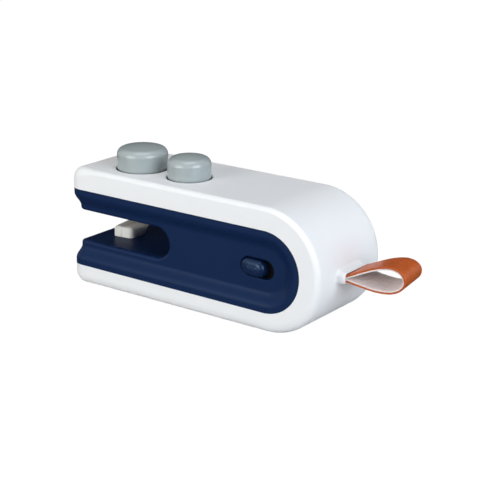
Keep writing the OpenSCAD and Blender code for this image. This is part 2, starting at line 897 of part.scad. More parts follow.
FRONT_LEAD = [
    [lead_from, mech_y - leaf_end, lead_floor],
    [lead_from + 2 * lead_r, mech_y - leaf_end, lead_floor],
    [lane_from, lead_lane, lead_floor],
    [slot_end_x + shelf_l, lead_lane, lead_floor],
    [first_pad, board_front - lead_rise, lead_up_z],
    [first_pad + lead_r, board_front - lead_out, lead_up_z],
    [first_pad + lead_r, board_front - lead_touch, lead_up_z]];
REAR_LEAD = [
    [lead_from, mech_y + leaf_end, lead_floor],
    [slot_end_x, mech_y + leaf_end, lead_floor],
    [board_x, board_back + 2 * lead_rise, lead_up_z],
    [first_pad, board_back + lead_out, lead_up_z],
    [first_pad, board_back + lead_touch, lead_up_z]];

module battery_leads() {
    color(red) for (route = [PLUS_LEAD, MINUS_LEAD]) tube(route, lead_r, lead_sides);
}

module heater_leads() {
    color(white) for (route = [FRONT_LEAD, REAR_LEAD]) tube(route, lead_r, lead_sides);
}

// Charging socket
module charge_board() {
    seat = charge_back - board_t;
    color(green) difference() {
        upright(usb_x, usb_z, charge_w, charge_h, seat, charge_back);
        for (x = CHARGE_HOLES) y_rod(x, usb_z, screw_r + thread_gap, seat - past, charge_back + past);
    }
}

module usb_port() {
    inner_w = usb_w - 2 * usb_wall;
    inner_h = usb_h - 2 * usb_wall;
    color(steel) union() {
        difference() {
            y_oval(usb_x, usb_z, usb_w, usb_h, charge_back, panel_y);
            y_oval(usb_x, usb_z, inner_w, inner_h, charge_back + usb_wall, panel_y + past);
        }
        upright(usb_x, usb_z, tongue_w, tongue_h, charge_back, panel_y - usb_wall);
    }
}

module charge_screws() {
    seat = charge_back - board_t;
    color(steel) for (x = CHARGE_HOLES) {
        y_rod(x, usb_z, screw_r, seat, seat + board_screw_l);
        y_rod(x, usb_z, head_r, seat - head_t, seat);
    }
}

outer_shell();
rear_cover();
core_front();
core_rear();
case_screws();
strap_lug();
strap();
strap_rivets();
anvil_base();
anvil_pad();
seal_button();
seal_carrier();
seal_button_screw();
seal_springs();
heat_block();
heating_strip();
ptfe_cover();
contact_leaves();
cut_button();
blade_carrier();
cut_button_screw();
cut_springs();
cutter_blade();
blade_pin();
slide_knob();
switch_lever();
slide_switch();
main_board();
control_chip();
inductor();
board_screws();
battery_cell();
battery_cradle();
battery_leads();
heater_leads();
charge_board();
usb_port();
charge_screws();
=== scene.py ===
"""Looks of a handheld mini bag sealer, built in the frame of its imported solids."""
import logging
import math
from collections import Counter
from contextlib import contextmanager
from dataclasses import dataclass
from enum import Enum
from typing import Callable, Iterator, Sequence

import bmesh
import bpy
from mathutils import Matrix, Vector


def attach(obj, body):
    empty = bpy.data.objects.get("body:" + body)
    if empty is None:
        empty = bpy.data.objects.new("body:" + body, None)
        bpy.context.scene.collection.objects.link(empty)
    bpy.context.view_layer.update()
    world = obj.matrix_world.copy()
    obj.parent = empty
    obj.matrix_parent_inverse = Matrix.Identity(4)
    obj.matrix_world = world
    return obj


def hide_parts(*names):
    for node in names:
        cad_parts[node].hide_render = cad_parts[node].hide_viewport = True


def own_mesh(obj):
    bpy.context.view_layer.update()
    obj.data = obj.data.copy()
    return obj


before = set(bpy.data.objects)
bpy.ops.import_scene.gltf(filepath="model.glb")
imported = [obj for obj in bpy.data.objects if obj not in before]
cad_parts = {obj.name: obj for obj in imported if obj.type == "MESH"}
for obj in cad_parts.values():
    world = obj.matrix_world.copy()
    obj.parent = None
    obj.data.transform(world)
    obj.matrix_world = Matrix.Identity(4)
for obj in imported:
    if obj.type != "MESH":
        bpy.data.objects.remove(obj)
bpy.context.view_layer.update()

LOG = logging.getLogger("bag_sealer")
Point = tuple[float, float, float]
Flat = tuple[float, float]
Oval = tuple[float, float, float, float]

# Lengths are in millimetres until a piece is dressed, unless a docstring says otherwise.
MM = 0.001  # metres in a millimetre
PAST = 2.0  # how far a cutter reaches past a surface
FAR = 200.0  # reach of a cutter that passes the whole body
WELD = 0.001  # points closer than this become one
NEAR = 0.01  # a point this close to an edge lies on it
LEAST_R = 0.05  # least radius of a corner that is drawn in
SEED = 7  # start of every random draw
CRISP = 35.0  # angle in degrees above which an edge of small hardware stays sharp
QUADRANTS = ((1, 1), (-1, 1), (-1, -1), (1, -1))
PURE_WHITE = (1.0, 1.0, 1.0)

# Levels that all finishes share.
PATCH_DETAIL = 3.0
ROUGH_DETAIL = 4.0
ROUGH_PATCH = 0.6
NAP_DETAIL = 6.0
FINE_DETAIL = 2.0
SHEEN_ROUGH = 0.6
# Painted shade in the grain's hollows: how dark it is, and over what relief it fades out.
HOLLOW_SHADE = 0.72
HOLLOW_REACH = (0.15, 0.5)
BRUSH_STRETCH = (0.08, 1.0, 1.0)


class Join(Enum):
    """How one solid is combined with another."""

    CUT = "DIFFERENCE"
    ADD = "UNION"
    KEEP = "INTERSECT"


class Axis(Enum):
    """Directions that a rod can run in, with the turn about X that brings it there."""

    UP = 0.0
    DEEP = -90.0


class Grain(Enum):
    """Kinds of fine surface relief."""

    SPARK = "spark"
    HIDE = "hide"
    NAP = "nap"
    BRUSHED = "brushed"


def linear(red: int, green: int, blue: int) -> tuple[float, float, float, float]:
    """Turns a screen colour into the linear colour that a shader takes.

    Args:
        red: Red from 0 to 255.
        green: Green from 0 to 255.
        blue: Blue from 0 to 255.

    Returns:
        Linear red, green, blue and an alpha of 1.
    """
    parts = [c / 255 for c in (red, green, blue)]
    return (*[p / 12.92 if p <= 0.04045 else ((p + 0.055) / 1.055) ** 2.4 for p in parts], 1.0)


def scaled(colour: Sequence[float], share: float) -> tuple[float, float, float, float]:
    """Returns a colour made darker or lighter by a share."""
    return (*[min(1.0, c * share) for c in colour[:3]], 1.0)


def mapped(tree: bpy.types.NodeTree, value: bpy.types.NodeSocket, reach: Flat = (0.0, 1.0),
           onto: Flat = (0.0, 1.0)) -> bpy.types.NodeSocket:
    """Adds a node that maps a value from one range onto another.

    Args:
        tree: Node tree that gets the node.
        value: Value that is mapped.
        reach: Range of the value.
        onto: Range of the result.

    Returns:
        The mapped value.
    """
    node = tree.nodes.new("ShaderNodeMapRange")
    for label, number in zip(("From Min", "From Max", "To Min", "To Max"), (*reach, *onto)):
        node.inputs[label].default_value = number
    tree.links.new(value, node.inputs["Value"])
    return node.outputs["Result"]


@dataclass(frozen=True)
class Finish:
    """One surface finish, made as a procedural material on Object coordinates.

    Attributes:
        name: Name of the material.
        colour: Screen colour, red, green and blue from 0 to 255.
        rough: Mean roughness.
        rough_swing: How far the roughness wanders each way.
        mottle: Share by which the colour wanders.
        mottle_mm: Size of the colour patches.
        grain: Kind of fine relief.
        grain_mm: Size of the relief.
        bump: Height of the relief in millimetres.
        metallic: Share of metal.
        sheen: Weight of a soft sheen.
        shine: Level of the mirror-like reflection.
        gloss_tint: Colour of that reflection.
    """

    name: str
    colour: tuple[int, int, int]
    rough: float = 0.4
    rough_swing: float = 0.05
    mottle: float = 0.03
    mottle_mm: float = 6.0
    grain: Grain = Grain.SPARK
    grain_mm: float = 0.25
    bump: float = 0.01
    metallic: float = 0.0
    sheen: float = 0.0
    shine: float = 0.5
    gloss_tint: tuple[float, float, float] = PURE_WHITE

    def material(self) -> bpy.types.Material:
        """Returns the finish's material, made the first time it is asked for."""
        found = bpy.data.materials.get(self.name)
        return found if found else self._make()

    def _make(self) -> bpy.types.Material:
        """Builds the node tree of the finish.

        Returns:
            The new material.
        """
        made = bpy.data.materials.new(self.name)
        made.use_nodes = True
        tree = made.node_tree
        shader = tree.nodes["Principled BSDF"]
        for label, level in (("Metallic", self.metallic), ("Specular IOR Level", self.shine),
                             ("Specular Tint", (*self.gloss_tint, 1.0)), ("Sheen Weight", self.sheen),
                             ("Sheen Roughness", SHEEN_ROUGH)):
            shader.inputs[label].default_value = level
        place = tree.nodes.new("ShaderNodeTexCoord").outputs["Object"]
        colour = tree.nodes.new("ShaderNodeMix")
        colour.data_type = "RGBA"
        base = linear(*self.colour)
        colour.inputs["A"].default_value = scaled(base, 1 - self.mottle)
        colour.inputs["B"].default_value = scaled(base, 1 + self.mottle)
        tree.links.new(self._noise(tree, place, self.mottle_mm, PATCH_DETAIL), colour.inputs["Factor"])
        relief = self._relief(tree, place)
        tone = colour.outputs["Result"]
        # Leather and suede get painted shade in the hollows of their grain.
        if self.grain in (Grain.HIDE, Grain.NAP):
            tone = self._painted_hollow_shade(tree, tone, relief, base)
        tree.links.new(tone, shader.inputs["Base Color"])
        wander = self._noise(tree, place, self.mottle_mm * ROUGH_PATCH, ROUGH_DETAIL)
        rough = mapped(tree, wander, onto=(self.rough - self.rough_swing, self.rough + self.rough_swing))
        tree.links.new(rough, shader.inputs["Roughness"])
        lift = tree.nodes.new("ShaderNodeBump")
        lift.inputs["Strength"].default_value = 1.0
        lift.inputs["Distance"].default_value = self.bump * MM
        tree.links.new(relief, lift.inputs["Height"])
        tree.links.new(lift.outputs["Normal"], shader.inputs["Normal"])
        return made

    def _painted_hollow_shade(self, tree: bpy.types.NodeTree, tone: bpy.types.NodeSocket, relief: bpy.types.NodeSocket,
              base: Sequence[float]) -> bpy.types.NodeSocket:
        """Darkens a soft material in the hollows of its grain, as painted shade.

        Args:
            tree: Node tree of the material.
            tone: Colour so far.
            relief: Height of the grain.
            base: Mean colour.

        Returns:
            The colour with painted shade in its hollows.
        """
        hollow = tree.nodes.new("ShaderNodeMix")
        hollow.data_type = "RGBA"
        hollow.inputs["A"].default_value = scaled(base, HOLLOW_SHADE)
        tree.links.new(mapped(tree, relief, reach=HOLLOW_REACH), hollow.inputs["Factor"])
        tree.links.new(tone, hollow.inputs["B"])
        return hollow.outputs["Result"]

    def _noise(self, tree: bpy.types.NodeTree, place: bpy.types.NodeSocket, size_mm: float,
               detail: float) -> bpy.types.NodeSocket:
        """Adds a noise texture with patches of a size.

        Args:
            tree: Node tree of the material.
            place: Coordinates that the noise reads.
            size_mm: Size of the patches in millimetres.
            detail: Octaves of finer noise.

        Returns:
            The noise's value.
        """
        noise = tree.nodes.new("ShaderNodeTexNoise")
        noise.inputs["Scale"].default_value = 1 / (size_mm * MM)
        noise.inputs["Detail"].default_value = detail
        tree.links.new(place, noise.inputs["Vector"])
        return noise.outputs["Fac"]

    def _relief(self, tree: bpy.types.NodeTree, place: bpy.types.NodeSocket) -> bpy.types.NodeSocket:
        """Adds the finish's fine relief.

        Args:
            tree: Node tree of the material.
            place: Coordinates that the relief reads.

        Returns:
            The relief's height from 0 to 1.
        """
        if self.grain is Grain.HIDE:
            cells = tree.nodes.new("ShaderNodeTexVoronoi")
            cells.feature = "SMOOTH_F1"
            cells.inputs["Scale"].default_value = 1 / (self.grain_mm * MM)
            tree.links.new(place, cells.inputs["Vector"])
            return cells.outputs["Distance"]
        if self.grain is Grain.BRUSHED:
            stretch = tree.nodes.new("ShaderNodeMapping")
            stretch.inputs["Scale"].default_value = BRUSH_STRETCH
            tree.links.new(place, stretch.inputs["Vector"])
            place = stretch.outputs["Vector"]
        return self._noise(tree, place, self.grain_mm, NAP_DETAIL if self.grain is Grain.NAP else FINE_DETAIL)


WHITE = Finish("white_satin", (236, 238, 240), rough=0.42, mottle=0.006, grain_mm=0.3, bump=0.004, shine=0.3)
NAVY = Finish("navy_satin", (14, 35, 72), rough=0.4, mottle=0.05, grain_mm=0.22, bump=0.012, shine=0.11,
              gloss_tint=(0.72, 0.88, 1.0))
KNOB_NAVY = Finish("navy_gloss", (13, 32, 66), rough=0.28, mottle=0.05, grain_mm=0.22, bump=0.004, shine=0.36,
                   gloss_tint=(0.5, 0.75, 1.0))
GREY = Finish("grey_satin", (159, 169, 170), rough=0.22, mottle=0.02, grain_mm=0.25, bump=0.002, shine=0.5)
ANVIL = Finish("matt_white_block", (243, 243, 238), rough=0.6, mottle=0.03, grain_mm=0.4, bump=0.02)
SILICONE = Finish("soft_white_strip", (240, 240, 235), rough=0.65, mottle=0.02, grain_mm=0.5, bump=0.015)
LEATHER = Finish("tan_hide", (184, 85, 27), rough=0.42, rough_swing=0.08, mottle=0.3, mottle_mm=3.0,
                 grain=Grain.HIDE, grain_mm=0.5, bump=0.07, shine=0.3)
SUEDE = Finish("pale_suede", (230, 217, 214), rough=0.9, mottle=0.24, mottle_mm=1.6,
               grain=Grain.NAP, grain_mm=0.35, bump=0.06, sheen=0.25)
STEEL = Finish("bright_steel", (182, 184, 188), rough=0.28, rough_swing=0.08, mottle=0.04,
               grain=Grain.BRUSHED, grain_mm=0.12, bump=0.004, metallic=1.0)
NICHROME = Finish("dull_ribbon", (142, 140, 134), rough=0.4, mottle=0.1, grain=Grain.BRUSHED,
                  grain_mm=0.1, bump=0.004, metallic=1.0)
BRASS = Finish("spring_brass", (206, 152, 84), rough=0.3, mottle=0.06, grain=Grain.BRUSHED,
               grain_mm=0.1, bump=0.004, metallic=1.0)
BLACK = Finish("matt_black", (9, 9, 11), rough=0.6, mottle=0.06, bump=0.015, shine=0.05)
CERAMIC = Finish("off_white_block", (226, 220, 204), rough=0.7, mottle=0.04, grain_mm=0.3, bump=0.02)
SLIP = Finish("brown_slip_sheet", (170, 130, 94), rough=0.45, mottle=0.1, mottle_mm=2.0, grain_mm=0.5,
              bump=0.03)
BOARD = Finish("green_board", (22, 92, 56), rough=0.35, mottle=0.12, mottle_mm=2.5, grain_mm=0.4, bump=0.01)
SLEEVE = Finish("blue_sleeve", (52, 104, 150), rough=0.3, mottle=0.05, grain_mm=0.8, bump=0.01)
CRADLE = Finish("inner_white", (206, 206, 204), rough=0.55, mottle=0.03, bump=0.01)
RED_WIRE = Finish("red_wire", (160, 20, 16), rough=0.5, mottle=0.06, bump=0.01)
WHITE_WIRE = Finish("white_wire", (212, 210, 204), rough=0.5, mottle=0.05, bump=0.01)

# Nodes that keep their solids and only get a finish.
NODE_FINISHES: dict[str, Finish] = {
    "seal_carrier": BLACK, "blade_carrier": BLACK, "switch_lever": BLACK, "control_chip": BLACK,
    "inductor": BLACK, "heat_block": CERAMIC, "heating_strip": NICHROME, "ptfe_cover": SLIP,
    "contact_leaves": BRASS, "cutter_blade": STEEL, "blade_pin": STEEL, "slide_switch": STEEL,
    "main_board": BOARD, "charge_board": BOARD, "battery_cell": SLEEVE, "battery_cradle": CRADLE,
    "battery_leads": RED_WIRE, "heater_leads": WHITE_WIRE,
}


def linked(name: str, data: bpy.types.ID) -> bpy.types.Object:
    """Makes an object of some data and puts it in the scene.

    Args:
        name: Name of the object.
        data: Its mesh, lamp or camera.

    Returns:
        The object.
    """
    made = bpy.data.objects.new(name, data)
    bpy.context.scene.collection.objects.link(made)
    return made


@contextmanager
def edited(mesh: bpy.types.Mesh) -> Iterator[bmesh.types.BMesh]:
    """Opens a mesh for changes and writes them back.

    Args:
        mesh: Mesh that is changed.

    Yields:
        The open mesh.
    """
    form = bmesh.new()
    form.from_mesh(mesh)
    yield form
    form.to_mesh(mesh)
    form.free()


def mesh_object(name: str, points: Sequence[Sequence[float]],
                faces: Sequence[Sequence[int]]) -> bpy.types.Object:
    """Makes a closed mesh with its faces pointing outwards.

    Args:
        name: Name of the object.
        points: Corners.
        faces: Corner numbers of each face.

    Returns:
        The linked object.
    """
    mesh = bpy.data.meshes.new(name)
    mesh.from_pydata([tuple(p) for p in points], [], [tuple(f) for f in faces])
    mesh.validate()
    with edited(mesh) as form:
        bmesh.ops.recalc_face_normals(form, faces=form.faces)
    return linked(name, mesh)


def hoop(a: int, b: int, count: int) -> list[list[int]]:
    """Returns the faces between two closed rings, whose points start at two numbers."""
    return [[a + k, a + (k + 1) % count, b + (k + 1) % count, b + k] for k in range(count)]


def ribbon(a: Sequence[int], b: Sequence[int]) -> list[list[int]]:
    """Returns the faces between two open rows of point numbers."""
    return [[a[k], a[k + 1], b[k + 1], b[k]] for k in range(len(a) - 1)]


def loft(name: str, rings: Sequence[Sequence[Point]], capped: bool = True) -> bpy.types.Object:
    """Joins closed rings of equal length into a solid.

    Args:
        name: Name of the object.
        rings: Rings in order.
        capped: Whether the ends get faces, or else the last ring joins the first.

    Returns:
        The solid.
    """
    count, steps = len(rings[0]), len(rings)
    points = [p for ring in rings for p in ring]
    faces: list[list[int]] = []
    for i in range(steps - 1 if capped else steps):
        faces += hoop(i * count, (i + 1) % steps * count, count)
    if capped:
        faces += [list(range(count)), [(steps - 1) * count + k for k in range(count)]]
    return mesh_object(name, points, faces)


def prism(name: str, outline: Sequence[Flat], y0: float, y1: float) -> bpy.types.Object:
    """Makes a solid of an outline in X and Z between two depths."""
    return loft(name, [[(x, y, z) for x, z in outline] for y in (y0, y1)])


def box(name: str, low: Point, high: Point) -> bpy.types.Object:
    """Makes a plain block between two corners, used as a cutter or joined to other solids."""
    outline = [(low[0], low[2]), (high[0], low[2]), (high[0], high[2]), (low[0], high[2])]
    return prism(name, outline, low[1], high[1])


def quarter(steps: int) -> list[float]:
    """Returns the angles of a quarter turn in radians, both ends with it."""
    return [math.radians(90 * i / steps) for i in range(steps + 1)]


def arc(cx: float, cy: float, r: float, start: float, end: float, steps: int) -> list[Flat]:
    """Returns points of an arc between two angles in degrees, both ends with it."""
    turns = [math.radians(start + (end - start) * i / steps) for i in range(steps + 1)]
    return [(cx + r * math.cos(t), cy + r * math.sin(t)) for t in turns]


def oval(cx: float, cz: float, length: float, width: float, steps: int = 32) -> list[Flat]:
    """Returns the outline of a bar with round ends."""
    half, r = max(0.0, (length - width) / 2), width / 2
    return arc(cx + half, cz, r, -90, 90, steps) + arc(cx - half, cz, r, 90, 270, steps)


def round_rect(cx: float, cy: float, w: float, h: float, r: float, steps: int = 8) -> list[Flat]:
    """Returns the outline of a rectangle with round corners."""
    return [p for turn, (sx, sy) in enumerate(QUADRANTS)
            for p in arc(cx + sx * (w / 2 - r), cy + sy * (h / 2 - r), r, 90 * turn, 90 * turn + 90, steps)]


def across(x: float, ring: Sequence[Flat]) -> list[Point]:
    """Returns an outline in Y and Z set at a place along X."""
    return [(x, y, z) for y, z in ring]


def lathe(name: str, profile: Sequence[Flat], steps: int) -> bpy.types.Object:
    """Turns a closed profile of radius and height about Z.

    Args:
        name: Name of the object.
        profile: Points that start and end on the axis.
        steps: Points of each turn.

    Returns:
        The turned solid.
    """
    inner = profile[1:-1]
    turns = [2 * math.pi * k / steps for k in range(steps)]
    points = [(r * math.cos(t), r * math.sin(t), z) for r, z in inner for t in turns]
    faces: list[list[int]] = []
    for i in range(len(inner) - 1):
        faces += hoop(i * steps, (i + 1) * steps, steps)
    for ring, tip in ((0, profile[0]), (len(inner) - 1, profile[-1])):
        hub = len(points)
        points.append((0.0, 0.0, tip[1]))
        faces += [[ring * steps + k, ring * steps + (k + 1) % steps, hub] for k in range(steps)]
    return mesh_object(name, points, faces)


def moved(piece: bpy.types.Object, matrix: Matrix) -> bpy.types.Object:
    """Moves a piece's mesh, not its object, and returns the piece."""
    piece.data.transform(matrix)
    return piece


def turned(piece: bpy.types.Object, degrees: float) -> bpy.types.Object:
    """Turns a piece's mesh about X and returns the piece."""
    return moved(piece, Matrix.Rotation(math.radians(degrees), 4, "X"))


def cylinder(name: str, centre: Point, r: float, length: float, axis: Axis, steps: int) -> bpy.types.Object:
    """Makes a rod that starts at a point and runs along an axis.

    Args:
        name: Name of the object.
        centre: Middle of its first face.
        r: Radius.
        length: Length along the axis.
        axis: Direction that it runs in.
        steps: Points of its round.

    Returns:
        The rod.
    """
    ring = arc(0, 0, r, 0, 360 - 360 / steps, steps - 1)
    rod = loft(name, [[(x, y, z) for x, y in ring] for z in (0.0, length)])
    if axis is not Axis.UP:
        turned(rod, axis.value)
    return moved(rod, Matrix.Translation(centre))


def rounded_block(name: str, centre: Flat, size: Flat, ends: Flat, radii: Point,
                  steps: int) -> bpy.types.Object:
    """Makes an upright block with round corners and soft ends.

    Args:
        name: Name of the object.
        centre: Middle in X and Y.
        size: Width in X and length in Y.
        ends: Heights of its underside and its top.
        radii: Radii of its upright corners, its lower edge and its upper edge.
        steps: Steps of each rounding.

    Returns:
        The block.
    """
    (z0, z1), (side_r, low_r, top_r), turns = ends, radii, quarter(steps)
    stations = [(low_r * (1 - math.sin(t)), z0 + low_r * (1 - math.cos(t))) for t in turns]
    stations += [(top_r * (1 - math.sin(t)), z1 - top_r * (1 - math.cos(t))) for t in turns[::-1]]
    rings = []
    for inset, z in stations:
        w, l = size[0] - 2 * inset, size[1] - 2 * inset
        ring = round_rect(*centre, w, l, max(LEAST_R, side_r - inset), steps)
        rings.append([(x, y, z) for x, y in ring])
    return loft(name, rings)


def bake(piece: bpy.types.Object) -> bpy.types.Object:
    """Turns a piece's modifiers into a plain mesh.

    Args:
        piece: Piece that is changed.

    Returns:
        The changed piece.
    """
    graph = bpy.context.evaluated_depsgraph_get()
    graph.update()
    mesh = bpy.data.meshes.new_from_object(piece.evaluated_get(graph))
    piece.modifiers.clear()
    old, piece.data = piece.data, mesh
    bpy.data.meshes.remove(old)
    return piece


def combine(piece: bpy.types.Object, how: Join, *tools: bpy.types.Object) -> bpy.types.Object:
    """Cuts a piece by other solids, or joins them to it, and removes these.

    Args:
        piece: Solid that is changed.
        how: Cut, add or keep.
        tools: The other solids.

    Returns:
        The changed piece.
    """
    for tool in tools:
        step = piece.modifiers.new(how.name.lower(), "BOOLEAN")
        step.operation = how.value
        step.solver = "EXACT"
        step.object = tool
        bake(piece)
        bpy.data.objects.remove(tool)
    return piece


def twin(piece: bpy.types.Object, name: str) -> bpy.types.Object:
    """Returns a copy of a piece with a mesh of its own."""
    return linked(name, piece.data.copy())


def soften(piece: bpy.types.Object, radius: float, picks: Callable[[Vector], bool], segments: int = 3,
           least: float = 30.0) -> bpy.types.Object:
    """Rounds the sharp edges whose two ends are both picked.

    Args:
        piece: Solid that is changed.
        radius: Radius of the rounding.
        picks: Says whether a point lies on the edge.
        segments: Steps of the rounding.
        least: Least angle of an edge in degrees.

    Returns:
        The changed piece.
    """
    limit = math.radians(least)
    with edited(piece.data) as form:
        bmesh.ops.remove_doubles(form, verts=form.verts, dist=WELD)
        edges = [e for e in form.edges if len(e.link_faces) == 2 and e.calc_face_angle() > limit
                 and picks(e.verts[0].co) and picks(e.verts[1].co)]
        bmesh.ops.bevel(form, geom=edges, offset=radius, offset_type="OFFSET", segments=segments, profile=0.5,
                        affect="EDGES", clamp_overlap=False)
    return piece


def unfold(piece: bpy.types.Object) -> bpy.types.Object:
    """Cuts a solid's faces into triangles, and removes those that lie double on one another.

    Args:
        piece: Solid that is changed.

    Returns:
        The changed piece.
    """
    with edited(piece.data) as form:
        bmesh.ops.remove_doubles(form, verts=form.verts, dist=WELD)
        bmesh.ops.triangulate(form, faces=form.faces)
        form.verts.index_update()
        corners = {face: frozenset(v.index for v in face.verts) for face in form.faces}
        often = Counter(corners.values())
        doubled = [face for face, key in corners.items() if often[key] > 1]
        bmesh.ops.delete(form, geom=doubled, context="FACES_ONLY")
        bmesh.ops.holes_fill(form, edges=[e for e in form.edges if e.is_boundary], sides=4)
        bmesh.ops.recalc_face_normals(form, faces=form.faces)
    return piece


def dress(piece: bpy.types.Object, finish: Finish, sharp: float = 40.0) -> bpy.types.Object:
    """Brings a solid to metres, shades it evenly and gives it its finish.

    Args:
        piece: Solid in millimetres.
        finish: Finish of its surface.
        sharp: Angle in degrees above which an edge stays sharp.

    Returns:
        The dressed piece.
    """
    moved(piece, Matrix.Scale(MM, 4))
    piece.data.polygons.foreach_set("use_smooth", [True] * len(piece.data.polygons))
    piece.data.set_sharp_from_angle(angle=math.radians(sharp))
    even = piece.modifiers.new("even_normals", "WEIGHTED_NORMAL")
    even.keep_sharp = True
    even.weight = 60
    bake(piece)
    piece.data.materials.clear()
    piece.data.materials.append(finish.material())
    return piece


def place(piece: bpy.types.Object, body: str, slot: str, *nodes: str) -> bpy.types.Object:
    """Puts a finished piece on its body, in place of the nodes that it stands for.

    Args:
        piece: Finished piece.
        body: Body that it moves with.
        slot: Material slot of the record; not used.
        nodes: Nodes that it replaces.

    Returns:
        The piece.
    """
    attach(piece, body)
    if nodes:
        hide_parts(*nodes)
    LOG.info("%s: %d faces on %s", piece.name, len(piece.data.polygons), body)
    return piece


# How every tree of geometry nodes ends: copies on points, made real and given a finish.
COPY_NODES = {
    "start": "NodeGroupInput", "end": "NodeGroupOutput", "spread": "GeometryNodeInstanceOnPoints",
    "real": "GeometryNodeRealizeInstances", "coat": "GeometryNodeSetMaterial",
}
COPY_JOINS = (
    ("start", "Geometry", "spread", "Points"), ("spread", "Instances", "real", "Geometry"),
    ("real", "Geometry", "coat", "Geometry"), ("start", "Finish", "coat", "Material"),
    ("coat", "Geometry", "end", "Geometry"),
)


@dataclass
class Rule:
    """A tree of geometry nodes that turns points into finished copies of a shape.

    Attributes:
        name: Name of the tree.
        inputs: Kind and value of each named input.
        kinds: Type of each node by its short name.
        settings: Node, property and value of each setting.
        levels: Node, input and value of each constant.
        joins: Node and output, then node and input, of each join.
    """

    name: str
    inputs: dict[str, tuple[str, object]]
    kinds: dict[str, str]
    settings: Sequence[tuple[str, str, str]]
    levels: Sequence[tuple[str, str, object]]
    joins: Sequence[tuple[str, str, str, str]]

    def grow(self, name: str, spots: Sequence[Point]) -> bpy.types.Object:
        """Builds the tree and makes one plain mesh of the copies on a row of points.

        Args:
            name: Name of the mesh.
            spots: Points that get a copy each.

        Returns:
            The mesh's object.
        """
        tree = bpy.data.node_groups.new(self.name, "GeometryNodeTree")
        ports = tree.interface
        for way in ("INPUT", "OUTPUT"):
            ports.new_socket("Geometry", in_out=way, socket_type="NodeSocketGeometry")
        keys = {label: ports.new_socket(label, in_out="INPUT", socket_type=f"NodeSocket{kind}").identifier
                for label, (kind, _) in self.inputs.items()}
        nodes = {label: tree.nodes.new(kind) for label, kind in {**COPY_NODES, **self.kinds}.items()}
        for node, label, choice in self.settings:
            setattr(nodes[node], label, choice)
        for node, label, level in self.levels:
            nodes[node].inputs[label].default_value = level
        for giver, out, taker, into in (*self.joins, *COPY_JOINS):
            tree.links.new(nodes[giver].outputs[out], nodes[taker].inputs[into])
        made = mesh_object(name, spots, [])
        step = made.modifiers.new("copies", "NODES")
        step.node_group = tree
        for label, (_, value) in self.inputs.items():
            step[keys[label]] = value
        return bake(made)


def copies(name: str, pattern: bpy.types.Object, spots: Sequence[Point], toward: Point, finish: Finish,
           swing: float = math.pi) -> bpy.types.Object:
    """Sets copies of a solid on a row of points by geometry nodes, and removes the solid.

    Args:
        name: Name of the finished object.
        pattern: Solid that is copied, with its top toward +Z.
        spots: Points that get a copy each.
        toward: Direction that the tops face.
        finish: Finish of the copies.
        swing: How far each copy may be turned about its own axis, in radians.

    Returns:
        One plain mesh of all the copies.
    """
    rule = Rule(
        f"{name}_copies",
        {"Pattern": ("Object", pattern), "Toward": ("Vector", toward), "Swing": ("Float", swing),
         "Seed": ("Int", SEED), "Finish": ("Material", finish.material())},
        {"shape": "GeometryNodeObjectInfo", "aim": "FunctionNodeAlignRotationToVector",
         "chance": "FunctionNodeRandomValue", "spin": "FunctionNodeAxisAngleToRotation",
         "turn": "FunctionNodeRotateRotation"},
        (("aim", "axis", "Z"), ("turn", "rotation_space", "LOCAL"), ("chance", "data_type", "FLOAT")),
        (),
        (("start", "Pattern", "shape", "Object"), ("start", "Toward", "aim", "Vector"),
         ("start", "Swing", "chance", "Max"), ("start", "Seed", "chance", "Seed"),
         ("chance", "Value", "spin", "Angle"), ("aim", "Rotation", "turn", "Rotation"),
         ("spin", "Rotation", "turn", "Rotate By"), ("shape", "Geometry", "spread", "Instance"),
         ("turn", "Rotation", "spread", "Rotation")))
    made = rule.grow(name, spots)
    bpy.data.objects.remove(pattern)
    return made


